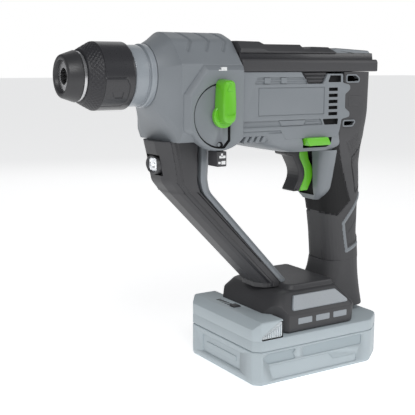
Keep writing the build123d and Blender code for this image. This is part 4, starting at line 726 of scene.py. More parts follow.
def oblong(front, rear, half, front_radius, rear_radius):
    """A rounded rectangle seen from above."""
    return [(front, -half), (front, half), (rear, half), (rear, -half)], [front_radius, front_radius, rear_radius,
                                                                           rear_radius]


def flip(obj, name):
    """The same piece on the other side of the tool."""
    twin = obj.copy()
    twin.data = obj.data.copy()
    twin.name = name
    twin.data.transform(Matrix.Scale(-1, 4, (0, 1, 0)))
    twin.data.flip_normals()
    bpy.context.scene.collection.objects.link(twin)
    return twin


print("columns ready")

# %% [markdown]
# ## Grip and rear cover
# One soft over-moulding wraps the back of the tool from the top corner to the foot. Above, it is as wide as
# the motor body. Below, it narrows to a grip that a hand can close round. Seam grooves, painted near-black as
# shade, divide it, a pale rib edges one textured panel, and a field of short slanting grooves marks where the
# web of the thumb rests.

# %% Grip and rear cover
rear_high = low_high("rear_cover")[1]
grip_low = low_high("grip_cover")[0]
PANEL_TOP = rear_high[2]
GRIP_SEAM = grip_low[2]
BODY_HALF = rear_high[1]
SEAM_PATH = [(-18.0, 172.0), (-21.0, 163.0), (-27.0, 150.0), (-31.5, 141.0), (-42.0, 115.0), (-31.0, 105.0),
             (-4.0, 110.0)]
UPPER_PANEL = [(-56.0, 163.0), (-50.0, 160.0), (-39.5, 147.0), (-47.3, 120.6), (-54.0, 127.0)]
LOWER_EDGE = [(-54.0, 119.0), (-36.5, 98.5), (-40.0, 77.5), (-52.0, 82.0)]
LOWER_PANEL = [(-60.0, 115.0), (-52.0, 113.5), (-39.0, 98.0), (-42.0, 81.0), (-52.0, 84.5), (-60.0, 90.0)]
DIAGONAL = [(-42.5, 91.5), (-53.0, 104.0)]
FRONT_SEAM = [(-19.0, 108.0), (-22.0, 98.0), (-24.0, 88.0), (-26.0, 71.0)]
GRIP_LEVELS = [
    (GRIP_SEAM - 0.2, -26.6, -58.8, 17.0, 11.0, 14.5), (71.0, -26.6, -58.8, 17.0, 11.0, 14.5),
    (90.0, -24.6, -58.0, 16.4, 11.0, 15.0), (110.0, -22.0, -58.0, 16.7, 11.0, 15.0),
    (125.0, -19.5, -57.6, 17.4, 10.0, 15.0), (142.0, -17.5, -55.5, 19.0, 8.0, 15.5),
    (154.0, -16.0, -53.6, 23.0, 6.0, 16.0), (164.0, -17.5, -52.8, 27.0, 4.0, 16.5),
    (172.0, -19.8, -52.8, 28.4, 2.0, 17.0), (180.0, -23.5, -52.9, 28.6, 1.0, 17.0),
    (207.8, -23.5, -53.6, 28.8, 1.0, 17.0)]


def grip_relief(x, y, z):
    """Seams, the two panels, the slanting grooves and the ring above the foot."""
    seams = np.minimum(distance_to_path(x, z, SEAM_PATH), distance_to_path(x, z, FRONT_SEAM))
    seams = np.minimum(seams, np.abs(z - GRIP_SEAM))
    side = np.abs(y) > 5.0
    high = groove(np.where(side, seams, np.abs(z - GRIP_SEAM)), 0.8, 0.7)
    high += groove(distance_to_path(x, z, UPPER_PANEL), 0.8, 0.6) * side
    high += groove(distance_to_path(x, z, DIAGONAL), 0.7, 0.5) * side
    high -= 0.6 * inside(x, z, LOWER_PANEL)
    rib = np.clip(1 - (distance_to_path(x, z, LOWER_EDGE) / 1.5) ** 2, 0, 1)
    high += 0.7 * rib * side
    along, across = (x + 40.0) * 0.77 + (z - 155.0) * -0.64, (x + 40.0) * 0.64 + (z - 155.0) * 0.77
    field = (np.abs(along) < 6.5) & (across > -9.0) & (across < 9.0) & side
    high += groove(np.abs((along / 2.0) % 1 - 0.5) * 2.0, 0.75, 0.55) * field
    return high


grip = column("grip_and_rear", GRIP_LEVELS, oblong, step=0.55, count=300, relief=grip_relief, blur=5)
dress(grip, RUBBER)
# Seam and panel grooves get a near-black finish: painted shade in the grooves.
paint(grip, lambda x, y, z: (np.minimum(distance_to_path(x, z, SEAM_PATH), distance_to_path(x, z, UPPER_PANEL))
                             < 0.45) & (np.abs(y) > 5), GROOVE_SHADE_AND_MARK)
paint(grip, lambda x, y, z: (distance_to_path(x, z, LOWER_EDGE) < 1.3) & (np.abs(y) > 5), GREY)
paint(grip, lambda x, y, z: np.abs(z - GRIP_SEAM - 0.2) < 0.4, GREY)


def in_front_of_seam(x, y, z):
    """The harder insert in front of the seam, where the trigger finger's neighbours rest."""
    return inside(x, z, SEAM_PATH + [(10.0, 110.0), (10.0, 172.0)]) & (
        distance_to_path(x, z, SEAM_PATH) > 0.6)


paint(grip, in_front_of_seam, INSERT)

# %% [markdown]
# ## Rear vents
# Cooling air enters through pockets in the rear cover. Each has a thin pale rim, and a raised square tab sits
# between the two on each side.

# %% Rear vents
UPPER_VENT = [(-25.5, PANEL_TOP - 6.6), (-35.8, PANEL_TOP - 6.6), (-35.8, PANEL_TOP - 4.4),
              (-33.0, PANEL_TOP - 2.6), (-25.5, PANEL_TOP - 2.6)]
LOWER_VENT = [(-23.5, 171.0), (-31.0, 171.0), (-33.5, 174.0), (-23.5, 174.0)]
cutters, rims = [], []
for number, corners in enumerate((UPPER_VENT, LOWER_VENT)):
    for side in (1, -1):
        span = (side * 20.0, side * 32.0)
        # The vent cutters leave their near-black finish on the pocket walls and floors as painted shade.
        cutters.append(dress(slab("vent", corners, 0.5, *span), SHADE_BLACK))
        outer = shrink(soften(corners, 0.6, 4), -0.9)
        inner = shrink(soften(corners, 0.6, 4), 0.0)
        ring = [place(outer, side * 25.0, "XZ"), place(outer, side * 29.15, "XZ"),
                place(inner, side * 29.15, "XZ"), place(inner, side * 25.0, "XZ")]
        faces = ring_faces(4, len(outer), caps=False)
        last, first = np.arange(len(outer)) + 3 * len(outer), np.arange(len(outer))
        faces += np.stack([last, np.roll(last, -1), np.roll(first, -1), first], 1).tolist()
        rims.append(dress(make_mesh("rim", np.concatenate(ring), faces), GREY))
carve(grip, cutters)
tabs = []
for side in (1, -1):
    tab_piece = slab("tab", [(-27.0, 184.2), (-38.0, 184.2), (-38.0, 191.6), (-27.0, 191.6)], 1.0, side * 26.5,
                     side * 29.0, 0.7, base_edge=0)
    tabs.append(dress(tab_piece, RUBBER))
grip = merge("grip_and_rear", [grip] + tabs)
settle(grip, "frame", ["rear_cover", "grip_cover"])
ROOT_LEVELS = [(36.2, -14.0, -59.6, 21.0, 6.0, 13.0), (44.0, -18.0, -59.4, 19.0, 7.0, 13.0),
               (54.0, -22.0, -59.0, 17.6, 9.0, 13.5), (62.0, -25.0, -58.8, 17.0, 10.0, 14.0),
               (GRIP_SEAM + 0.3, -26.2, -58.6, 16.6, 10.5, 14.0)]
root = dress(column("root", ROOT_LEVELS, oblong, step=0.8, count=180, blur=3), RUBBER)
settle(merge("rear_vent_rims", rims), "frame")

# %% [markdown]
# ## Side shells
# Each half of the casing is a flat panel with a real wall. Its outline follows the seam with the dark covers,
# with two small lugs that grip the rear cover. Slots, the upper pockets, the ledge and the frame of the blank
# nameplate are cut to their own depths.

# %% Side shells
ledge_z = (SPINDLE_Z - 33.4, SPINDLE_Z - 29.2)
SHELL = [(HEAD_X - 0.3, PANEL_TOP), (14.2, PANEL_TOP), (8.6, 200.2), (-4.6, 200.2), (-8.4, 206.8), (-22.0, 206.8),
         (-22.4, 200.6), (-27.6, 199.6), (-28.6, 197.2), (-27.6, 194.8), (-24.6, 192.6), (-24.6, 183.4),
         (-27.6, 181.2), (-28.4, 178.9), (-27.2, 176.6), (-21.8, 175.4), (-20.2, 168.0), (-18.6, 163.4),
         (27.0, 163.4), (31.0, 169.6), (HEAD_X - 0.3, 169.6)]
SHELL_IN = BODY_HALF - 2.8


def shell_cut(corners, depth, material=GREY, radius=0.3, draft=0.0):
    """A pocket of the given depth in the outer face of the left shell."""
    obj = slab("cut", corners, radius, BODY_HALF - depth, BODY_HALF + 2.0, steps=4, draft=-draft)
    return dress(obj, material)


def rect(x0, x1, z0, z1, lean=0.0):
    """Four corners, the upper two moved along X by lean."""
    return [(x0, z0), (x1, z0), (x1 + lean, z1), (x0 + lean, z1)]


shell = slab("casing", SHELL, [0.6] * len(SHELL), SHELL_IN, BODY_HALF, 0.9, base_edge=0)
dress(shell, GREY)
# The slots' walls and floors take the cutters' near-black finish as painted shade.
slots = [shell_cut(rect(-17.2, -9.4, z - 1.15, z + 1.15), 2.4, SHADE_BLACK) for z in np.linspace(179.6, 196.2, 5)]
slots.append(shell_cut([(-8.6, 201.0), (-19.8, 201.0), (-19.8, 205.6), (-10.4, 205.6)], 2.4, SHADE_BLACK, 0.5))
slots.append(shell_cut([(-4.4, ledge_z[1] - 0.2), (-18.2, ledge_z[1] - 0.2), (-17.6, ledge_z[0]),
                        (-6.2, ledge_z[0])], 2.4, SHADE_BLACK, 0.5))
carve(shell, slots)
pockets = [shell_cut([(52.6, 200.0), (50.2, 204.6), (13.0, 204.6), (8.4, 200.0)], 1.1, GREY, 0.6)]
pockets.append(shell_cut([(HEAD_X + 1.0, ledge_z[0]), (HEAD_X + 1.0, ledge_z[1]), (-2.6, ledge_z[1]),
                          (-5.0, ledge_z[0])], 1.2, GREY, 0.5))
carve(shell, pockets)
plate_outer, plate_inner = rect(-5.6, 49.4, 179.4, 198.0), rect(-5.1, 48.9, 179.9, 197.5)
frame_cut = dress(slab("cut", plate_outer, 0.5, BODY_HALF - 0.45, BODY_HALF + 1.0, steps=4), GREY)
carve(shell, [frame_cut])
plate = dress(slab("plate", plate_inner, 0.4, BODY_HALF - 1.5, BODY_HALF - 0.1, 0.25, base_edge=0, steps=4), GREY)
extra = [plate]
for x in (42.0, 28.5):
    extra.append(dress(slab("clip", rect(x - 2.5, x + 2.5, 200.4, 204.4), 0.3, BODY_HALF - 2.0, BODY_HALF - 0.2, 0.4,
                            base_edge=0), GREY))
extra.append(dress(slab("rail", rect(9.6, 51.6, 202.1, 202.9), 0.2, BODY_HALF - 2.0, BODY_HALF - 0.6, 0.2,
                        base_edge=0), GREY))
extra.append(dress(slab("step", [(30.0, ledge_z[0] + 0.3), (12.0, ledge_z[0] + 0.3), (10.0, ledge_z[1] - 0.3),
                                 (32.4, ledge_z[1] - 0.3)], 0.4, BODY_HALF - 2.0, BODY_HALF - 0.5, 0.3,
                        base_edge=0), GREY))
extra.append(dress(slab("step", [(10.4, ledge_z[0] + 1.0), (-1.6, ledge_z[0] + 1.0), (-1.0, ledge_z[0] + 2.2),
                                 (9.8, ledge_z[0] + 2.2)], 0.2, BODY_HALF - 2.0, BODY_HALF - 0.6, 0.2,
                        base_edge=0), GREY))
for x in (-27.0,):
    for z in (197.2, 178.9):
        extra.append(dress(slab("lug", [(x + 3, z - 2.1), (x - 1.6, z - 2.1), (x - 1.6, z + 2.1), (x + 3, z + 2.1)],
                                1.6, BODY_HALF - 1.0, BODY_HALF + 0.1 - 0.15, 0.4, base_edge=0), GREY))
round_edges(shell, 0.3)

# %% [markdown]
# ## Belly and trigger housing
# Below the panel the casing turns in. The belly is one section carried forwards, with slanting ribs cut across
# its lower edge. The trigger housing is a column that narrows from the belly to the back of the trigger.

# %% Belly and trigger housing
BELLY_Z = SPINDLE_Z - 43.4
belly = slab("belly", [(-28.0, BELLY_Z + 8.0), (28.0, BELLY_Z + 8.0), (28.0, BELLY_Z + 3.6), (24.4, BELLY_Z),
                       (-24.4, BELLY_Z), (-28.0, BELLY_Z + 3.6)], [0.5, 0.5, 3.0, 3.0, 3.0, 3.0], -20.0,
             HEAD_X - 0.3, 0.8, plane="YZ")
dress(belly, GREY)
wedge = [dress(slab("w", [(BODY_HALF * s, BELLY_Z + 4.5), (s * 26.0, BELLY_Z + 4.0), (s * 22.0, BELLY_Z - 1.0),
                          (BODY_HALF * s, BELLY_Z - 1.0)], 0.3, 32.0, 61.0, plane="YZ"), GREY) for s in (1, -1)]
carve(belly, wedge)
inner_belly = slab("inner", [(-27.0, BELLY_Z + 8.0), (27.0, BELLY_Z + 8.0), (27.0, BELLY_Z + 4.8),
                             (23.4, BELLY_Z + 1.0), (-23.4, BELLY_Z + 1.0), (-27.0, BELLY_Z + 4.8)],
                   [0.5, 0.5, 2.0, 2.0, 2.0, 2.0], 31.0, 61.2, 0.3, plane="YZ")
fins = [dress(inner_belly, GREY)]
for x in np.linspace(31.6, 55.6, 6):
    for s in (1, -1):
        fin = slab("fin", [(x + 1.9, BELLY_Z), (x + 4.9, BELLY_Z), (x + 1.1, BELLY_Z + 6.4),
                           (x - 1.9, BELLY_Z + 6.4)], 0.3, s * 20.0, s * 27.6, 0.5, base_edge=0, steps=3)
        fins.append(dress(fin, GREY))
HOUSING_LEVELS = [
    (116.4, -17.0, -21.0, 6.5, 2.0, 2.0), (118.5, -15.4, -25.0, 11.0, 3.5, 5.0),
    (124.0, -14.2, -29.5, 15.6, 4.5, 8.0), (132.0, -13.6, -31.0, 17.4, 5.0, 9.0),
    (142.0, -13.2, -30.5, 19.4, 6.0, 9.0), (150.0, -12.6, -28.0, 22.4, 7.0, 8.0),
    (153.6, -12.0, -26.5, 24.2, 7.0, 7.0)]
HUMP_LEVELS = [(153.8, 18.0, -27.0, 21.5, 9.0, 7.0), (155.4, 30.0, -26.5, 23.4, 10.0, 7.0),
               (157.4, 38.0, -26.0, 25.6, 10.0, 6.0), (160.0, 42.0, -24.0, 27.6, 9.0, 5.0),
               (163.6, 44.0, -22.0, 28.5, 8.0, 4.0), (168.0, 44.0, -20.4, 28.8, 6.0, 3.0)]
housing = dress(column("housing", HOUSING_LEVELS, oblong, step=0.7, count=160, blur=3), GREY)
hump = dress(column("hump", HUMP_LEVELS, oblong, step=0.5, count=180, blur=2), GREY)
# The window and the trigger room leave near-black walls: painted shade round the trigger.
window = dress(slab("window", [(14.0, 166.0), (9.0, 156.4), (-13.6, 156.4), (-13.6, 166.0)], 2.2, -40.0, 40.0),
               SHADE_BLACK)
trigger_room = dress(box("room", (-17.0, 12.0), (-8.2, 8.2), (120.0, 157.0)), SHADE_BLACK)
carve(housing, [trigger_room])
trigger_room = dress(box("room", (-17.0, 12.0), (-8.2, 8.2), (120.0, 157.0)), SHADE_BLACK)
carve(hump, [window, trigger_room])
round_edges(hump, 0.4, limit=50)
bodies_low = [belly, housing, hump] + fins


def halve(obj, name):
    """Keeps the left half of a piece and closes the cut."""
    work = bmesh.new()
    work.from_mesh(obj.data)
    cut = bmesh.ops.bisect_plane(work, geom=work.verts[:] + work.edges[:] + work.faces[:], plane_co=(0, 0, 0),
                                 plane_no=(0, -1, 0), clear_outer=True)
    edges = [e for e in cut["geom_cut"] if isinstance(e, bmesh.types.BMEdge)]
    bmesh.ops.holes_fill(work, edges=edges)
    bmesh.ops.recalc_face_normals(work, faces=work.faces)
    mesh = bpy.data.meshes.new(name)
    work.to_mesh(mesh)
    work.free()
    for material in obj.data.materials:
        mesh.materials.append(material)
    bpy.data.objects.remove(obj)
    half = bpy.data.objects.new(name, mesh)
    bpy.context.scene.collection.objects.link(half)
    return half


print("belly", len(bodies_low), "solids")

# %% [markdown]
# ## Strut
# The strut closes the hand loop. It is a slanting column with a pale rear spine and a dark cover in front. The
# cover's corner is cut back twice, which makes the long facets, and a smooth dark inlay lies on the middle
# one. Distances across the strut are measured level, back from its front line.

# %% Strut
strut_high = low_high("strut_cover")[1]
FOOT_TOP = foot_high[2]
STRUT_Z = strut_high[2]


def front_line(z):
    """The strut's front edge at a height: straight to the seam, then steeper in two bends to the head."""
    return np.interp(z, [FOOT_TOP, STRUT_Z, STRUT_Z + 7, STRUT_Z + 12.5, STRUT_Z + 30, FLOOR_Z],
                     [36.0, strut_high[0], strut_high[0] + 5.8, strut_high[0] + 6.5, strut_high[0] + 9.9,
                      strut_high[0] + 11.0])


def strut_outline(front, depth, half):
    """Narrow flat front, two facets each side, straight sides and a rounded rear."""
    right_side = [(front, 7.0), (front - 3.6, half - 3.0), (front - 8.6, half), (front - depth, half)]
    corners = [(a, -b) for a, b in right_side[::-1]] + right_side
    return corners, [3.5, 1.2, 2.0, 1.6, 1.6, 2.0, 1.2, 3.5]


def back_from_front(x, z):
    """How far a point lies behind the strut's front line, measured level."""
    return front_line(z) - x


COVER_DEPTH = 19.4


def strut_relief(x, y, z):
    """The groove on the side, the inlay's step and the pointed lower end of the inlay."""
    back = back_from_front(x, z)
    low_end = FOOT_TOP + 12.0 + np.abs(back - 12.0) * 1.2
    side = np.abs(y) > 10
    high = groove(np.abs(back - 16.0), 0.55, 0.6) * side * (z > low_end)
    return high - 0.35 * ((back > 6.6) & (back < 10.6) & side)


def strut_levels(low, high, depth, half, count=24):
    """Levels of a strut piece between two heights."""
    heights = np.linspace(low, high, count)
    return [(z, float(front_line(z)), depth, half) for z in heights]


cover = column("strut_front", strut_levels(FOOT_TOP - 3.0, STRUT_Z - 0.3, COVER_DEPTH, 16.0), strut_outline, step=0.8,
               count=300, relief=strut_relief, blur=0, angle=28)
dress(cover, BLACK)
paint(cover, lambda x, y, z: (back_from_front(x, z) > 6.4) & (back_from_front(x, z) < 10.8) & (np.abs(y) > 10),
      SLEEVE)
# The side groove gets a near-black finish: painted shade in the groove.
paint(cover, lambda x, y, z: (np.abs(back_from_front(x, z) - 16.0) < 0.35) & (np.abs(y) > 10), GROOVE_SHADE_AND_MARK)
settle(cover, "frame", ["strut_cover"])
collar_levels = [(z, float(front_line(z)), COVER_DEPTH + extra_depth, 16.4 + widen)
                 for z, extra_depth, widen in ((STRUT_Z, 0.0, 0.0), (STRUT_Z + 7, 3.0, 0.6),
                                               (STRUT_Z + 14, 4.0, 1.2), (STRUT_Z + 24, 5.5, 1.5),
                                               (FLOOR_Z - 0.2, 8.0, 1.6))]


def collar_relief(x, y, z):
    """The dark band that carries the inlay up to the head, and its step."""
    back = back_from_front(x, z)
    return -0.35 * ((back > 6.6) & (back < 10.8) & (np.abs(y) > 10))


collar = column("strut_collar", collar_levels, strut_outline, step=0.5, count=300, relief=collar_relief, blur=4,
                angle=28)
dress(collar, BLACK)
led_low, led_high = low_high("led_bezel")
LED_Z = (led_low[2] + led_high[2]) / 2
LED_X = led_high[0]
# The hole's walls take the near-black finish: painted shade behind the lamp.
hole = dress(box("hole", (LED_X - 16.0, LED_X + 12.0), (-8.6, 8.6), (LED_Z - 6.6, LED_Z + 6.6), plane="YZ"), SHADE_BLACK)
carve(collar, [hole])
paint(collar, lambda x, y, z: (back_from_front(x, z) > 6.4) & (back_from_front(x, z) < 11.0) & (np.abs(y) > 10),
      SLEEVE)
settle(collar, "frame", ["strut_collar"])


def spine_outline(front, depth, half):
    """The pale rear spine: it starts behind the cover and its rear corners are rounded."""
    rear = front - 27.2 - depth
    return [(front - COVER_DEPTH - 0.15 - depth * 0.9, -half), (front - COVER_DEPTH - 0.15 - depth * 0.9, half),
            (rear + 4.6, half), (rear, half - 4.6), (rear, -half + 4.6), (rear + 4.6, -half)], \
        [0.2, 0.2, 2.0, 3.0, 3.0, 2.0]


spine_levels = [(FOOT_TOP - 3.0, float(front_line(FOOT_TOP - 3.0)), 0.0, 16.0),
                (STRUT_Z - 1, float(front_line(STRUT_Z - 1)), 0.0, 16.0),
                (STRUT_Z + 7, float(front_line(STRUT_Z + 7)), 4.6, 16.6),
                (STRUT_Z + 14, float(front_line(STRUT_Z + 14)), 5.6, 17.2),
                (STRUT_Z + 24, float(front_line(STRUT_Z + 24)), 8.0, 17.6),
                (FLOOR_Z - 0.3, float(front_line(FLOOR_Z - 0.3)), 10.0, 17.8)]
spine = dress(column("spine", spine_levels, spine_outline, step=0.8, count=200, blur=3), GREY)
print("strut ready")

# %% [markdown]
# ## Casing halves
# The panel, the belly, the housing and the strut's spine are moulded as one piece on each side, so they are
# joined, split on the mid-plane and given to the two casing nodes.

# %% Casing halves
lower = halve(merge("lower", bodies_low + [spine, root]), "lower_left")
casing_left = merge("casing_shell_left", [shell] + extra + [lower])
casing_right = flip(casing_left, "casing_shell_right")
settle(casing_left, "frame", ["casing_left"])
settle(casing_right, "frame", ["casing_right"])

# %% [markdown]
# ## Dark top cover
# The long cover along the top is two steps. A broad shoulder sits on the panel, and a narrower ridge runs
# above a recessed strip. Towards the back the ridge drops and opens into a pale louvred insert.

# %% Dark top cover
top_low, top_high = low_high("top_cover")
TOP = top_high[2]
SHOULDER = [(-28.9, PANEL_TOP + 0.15), (28.9, PANEL_TOP + 0.15), (28.9, PANEL_TOP + 6.6), (27.8, PANEL_TOP + 8.4),
            (-27.8, PANEL_TOP + 8.4), (-28.9, PANEL_TOP + 6.6)]
REAR_TOP = top_low[0] + 0.4
shoulder = slab("shoulder", SHOULDER, [0.6, 0.6, 2.2, 1.2, 1.2, 2.2], REAR_TOP, HEAD_X - 0.2, 0.8, plane="YZ")
dress(shoulder, BLACK)
strip = dress(slab("strip", [(-25.6, PANEL_TOP + 7.6), (25.6, PANEL_TOP + 7.6), (24.8, PANEL_TOP + 12.8),
                             (-24.8, PANEL_TOP + 12.8)], 0.4, REAR_TOP + 2.0, HEAD_X - 0.4, 0.5, plane="YZ"), SLEEVE)
RIDGE = [(HEAD_X - 0.4, 0.2), (44.0, 0.4), (40.0, 2.0), (10.6, 2.0), (7.6, 4.6), (2.0, 4.6), (-0.5, 3.2),
         (-14.0, 3.4), (-17.5, 6.4)]


def ridge_section(x, drop):
    """The ridge across the tool at a station: upright low flanks, sloping shoulders and a flat top."""
    top = TOP - drop
    base = PANEL_TOP + 12.2
    flank = max(top - 5.2, base + 0.8)
    corners = [(-25.8, base), (25.8, base), (26.6, flank), (21.5, top), (-21.5, top), (-26.6, flank)]
    return place(soften(corners, [0.5, 0.5, 1.4, 1.6, 1.6, 1.4], 5), x, "YZ")


ridge = dress(stack("ridge", [ridge_section(x, drop) for x, drop in RIDGE[::-1]], 24.0), BLACK)
roof = [(-13.0, PANEL_TOP + 9.4), (REAR_TOP + 1.2, PANEL_TOP + 9.4), (REAR_TOP + 1.2, TOP - 9.0),
        (REAR_TOP + 5.0, TOP - 5.4), (-19.0, TOP - 3.9), (-13.0, TOP - 5.6)]
roof_piece = dress(slab("roof", roof, 0.8, -24.6, 24.6, 1.6, base_edge=1.6), GREY)
# The louvre cutters leave near-black walls and floors: painted shade.
louvres = [dress(box("v", (-27.4, -19.6), (s * 13 - 4.4, s * 13 + 4.4), (TOP - 8.5, TOP - 2.0), 0.6), SHADE_BLACK)
           for s in (1, -1)]
for x in (-31.0, -36.4, -41.8, -47.2):
    for s in (1, -1):
        corners = [(x + 1.7 + 1.4, s * 5.0), (x - 1.7 + 1.4, s * 5.0), (x - 1.7 - 1.4, s * 18.5),
                   (x + 1.7 - 1.4, s * 18.5)]
        louvres.append(dress(slab("v", corners, 0.5, TOP - 9.0, TOP - 2.0, plane="XY"), SHADE_BLACK))
carve(roof_piece, louvres)
bars = [dress(slab("bars", [(13.4, PANEL_TOP - 0.3), (8.2, 200.6), (-4.2, 200.6), (-7.8, 206.4),
                            (-8.2, PANEL_TOP - 0.3)], 0.3, s * 22.0, s * (BODY_HALF - 1.8), 0.2), SLEEVE)
        for s in (1, -1)]
for s in (1, -1):
    for count, z in enumerate((201.5, 203.8, 206.1)):
        bars.append(dress(slab("bar", [(8.4 + count * 1.4, z), (8.9 + count * 1.4, z + 1.0),
                                       (-5.0 - count * 1.2, z + 1.0), (-4.4 - count * 1.2, z)], 0.2, s * 25.0,
                               s * (BODY_HALF - 0.7), 0.25), BLACK))
settle(merge("top_shell", [shoulder, strip, ridge] + bars), "frame", ["top_cover"])
settle(merge("top_louvre", [roof_piece]), "frame")

# %% [markdown]
# ## Foot
# The foot is a square pyramid of dark moulding that widens down to the battery rails. It is a stack of rounded
# outlines. A pale glossy pad is set in each flank, and short rail pads sit below it.

# %% Foot
foot_rows = [(32.4, 41.0, -28.4, 39.4, 5.0), (33.4, 41.4, -29.4, 39.9, 5.5), (44.6, 41.2, -30.4, 39.9, 5.5),
             (46.0, 40.4, -29.8, 38.6, 5.0), (57.2, 31.6, -21.4, 30.4, 4.0), (57.9, 30.4, -20.6, 29.4, 3.6),
             (58.3, 21.0, -19.4, 28.0, 3.0), (61.2, 20.0, -19.0, 27.4, 3.0), (61.9, 19.2, -18.4, 26.6, 2.4)]
rows = [(row[0], soften(*oblong(row[1], row[2], row[3], row[4] + 3, row[4]), 6)) for row in foot_rows]
foot_piece = dress(make_mesh("foot", np.concatenate([place(loop, z, "XY") for z, loop in rows]),
                             ring_faces(len(rows), len(rows[0][1]))), BLACK)
nose_cut = [dress(slab("cut", [(45.0, s * 20.0), (45.0, s * 46.0), (24.0, s * 46.0)], 0.2, 30.0, 64.0, plane="XY"),
                  BLACK) for s in (1, -1)]
carve(foot_piece, nose_cut)
round_edges(foot_piece, 0.7, limit=35)


def flank(corners, raise_by, material, side):
    """A thin slab lying on the foot's sloping flank. Corners are (along X, height up the slope)."""
    loop = soften(corners, 1.2, 5)
    rows_of = []
    for amount, offset in ((0.0, -1.2), (0.0, raise_by - 0.5), (0.5, raise_by)):
        small = shrink(loop, amount)
        z = small[:, 1]
        slope_y = 38.9 - (z - 46.0) * (38.6 - 30.4) / 11.2
        rows_of.append(np.stack([small[:, 0], side * (slope_y + offset * 0.8), z + offset * 0.58], 1))
    return dress(make_mesh("pad", np.concatenate(rows_of), ring_faces(3, len(loop))), material)


foot_pads, rail_pads = [], []
for side in (1, -1):
    foot_pads.append(flank([(26.0, 47.0), (20.6, 55.8), (-16.5, 55.8), (-25.4, 47.0)], 0.9, COLLAR, side))
    for x in (15.5, 0.0, -15.5):
        rail_pads.append(dress(slab("rail", rect(x - 6.2, x + 6.2, 37.4, 42.0), 0.8, side * 38.0, side * 39.98, 0.4,
                                    base_edge=0), COLLAR))
settle(merge("foot_body", [foot_piece]), "frame", ["foot_base"])
settle(merge("foot_pads", foot_pads + rail_pads), "frame")

# %% [markdown]
# ## Trigger and direction switch
# The trigger is a finger-width wedge with a hollow front. Its outline is carried across with rounded edges, and
# a green stripe is set in behind. The switch bar is a parallelogram pushed through from side to side.

# %% Trigger and direction switch
trigger_low, trigger_high = low_high("trigger")
curve = np.linspace(0, 1, 12)
hollow = 3.4 - 5.0 * np.sin(np.pi * curve) ** 1.2 - 0.6 * curve
drop = trigger_high[2] - 4.5 - (trigger_high[2] - 5.2 - trigger_low[2]) * curve
blade_front = [(9.4, trigger_high[2] - 0.3), (9.4, trigger_high[2] - 3.0)] + list(zip(hollow, drop))
blade_rear = list(zip(hollow[::-1] - 5.6, drop[::-1])) + [(-3.0, trigger_high[2] - 0.3)]
trigger_piece = dress(slab("blade", blade_front + blade_rear, 0.5, -7.3, 7.3, 1.2, base_edge=1.2), TRIGGER)
stripe_drop = drop + np.where(curve < 0.05, 3.6, 0.0)
stripe_side = list(zip(hollow - 5.0, stripe_drop)) + list(zip(hollow[::-1] - 13.2, stripe_drop[::-1]))
stripe = dress(slab("stripe", stripe_side, 0.5, -7.1, 7.1, 1.0, base_edge=1.0), GREEN)
settle(merge("trigger_blade", [trigger_piece, stripe]), "trigger", ["trigger"])
switch_low, switch_high = low_high("direction_switch")
bar_side = [(switch_high[0] - 0.3, switch_high[2] - 0.2), (switch_low[0] + 3.6, switch_high[2] - 0.2),
            (switch_low[0] + 0.3, switch_low[2] + 0.2), (switch_high[0] - 3.4, switch_low[2] + 0.2)]
bar = dress(slab("bar", bar_side, 0.9, switch_low[1] + 0.1, switch_high[1] - 0.1, 0.9, base_edge=0.9), GREEN)
settle(merge("direction_bar", [bar]), "direction", ["direction_switch"])

# %% [markdown]
# ## Lamp
# The lamp looks out of a dark drop-shaped bezel below the head. The bezel is a ring with rounded lips around a
# pointed outline, and the lens is a low clear dome whose faint glow is painted light standing in for a bright
# reflector behind it.

# %% Lamp
drop_half = (led_high[1] - led_low[1]) / 2 - 0.2
drop_turn = np.linspace(-0.5 * np.pi, 1.5 * np.pi, 64, endpoint=False)
drop_y = drop_half * np.cos(drop_turn) * (1 - 0.25 * (np.sin(drop_turn) < 0) * np.sin(drop_turn) ** 2)
drop_z = LED_Z + np.where(np.sin(drop_turn) < 0, 6.3, 6.2) * np.sin(drop_turn)
drop = np.stack([drop_y, drop_z], 1)
lens_loop = soften([(-5.6, LED_Z - 4.0), (5.6, LED_Z - 4.0), (5.6, LED_Z + 4.0), (-5.6, LED_Z + 4.0)], 1.6, 6)
lens_loop = even(lens_loop, 64)
lens_loop = np.roll(lens_loop, -np.argmin(np.abs(lens_loop[:, 0]) + 10 * (lens_loop[:, 1] > LED_Z)), 0)
bezel_rows = [place(drop, LED_X - 7.0, "YZ"), place(drop, LED_X - 1.3, "YZ"),
              place(shrink(drop, 0.5), LED_X - 0.5, "YZ"),
              place(shrink(lens_loop, -0.7), LED_X - 0.6, "YZ"), place(shrink(lens_loop, -0.2), LED_X - 1.3, "YZ"),
              place(shrink(lens_loop, -0.1), LED_X - 7.0, "YZ")]
faces = ring_faces(6, 64, caps=False)
last, first = np.arange(64) + 5 * 64, np.arange(64)
faces += np.stack([last, np.roll(last, -1), np.roll(first, -1), first], 1).tolist()
bezel = dress(make_mesh("bezel", np.concatenate(bezel_rows), faces), BLACK)
settle(merge("lamp_bezel", [bezel]), "frame", ["led_bezel"])
dome_rows = [place(shrink(lens_loop, 0.05), LED_X - 6.4, "YZ"), place(shrink(lens_loop, 0.05), LED_X - 2.2, "YZ")]
for amount, level in ((0.5, 1.7), (1.2, 1.45), (2.2, 1.3), (3.2, 1.25)):
    dome_rows.append(place(shrink(lens_loop, amount), LED_X - level, "YZ"))
dome = dress(make_mesh("dome", np.concatenate(dome_rows), ring_faces(len(dome_rows), 64)), LENS_PAINTED_GLOW)
settle(merge("lamp_lens", [dome]), "frame", ["led_lens"])
print("lamp, trigger, foot and top ready")

# %% [markdown]
# ## Battery case
# The removable battery is two pale shells with a seam between them. Its plan has wide rear corners and tight front
# ones. Each flank has a dark hexagon on the left, a raised label panel on the right and a stepped panel
# below. The front block stands above the deck and carries the latches, with five marks of a charge scale.

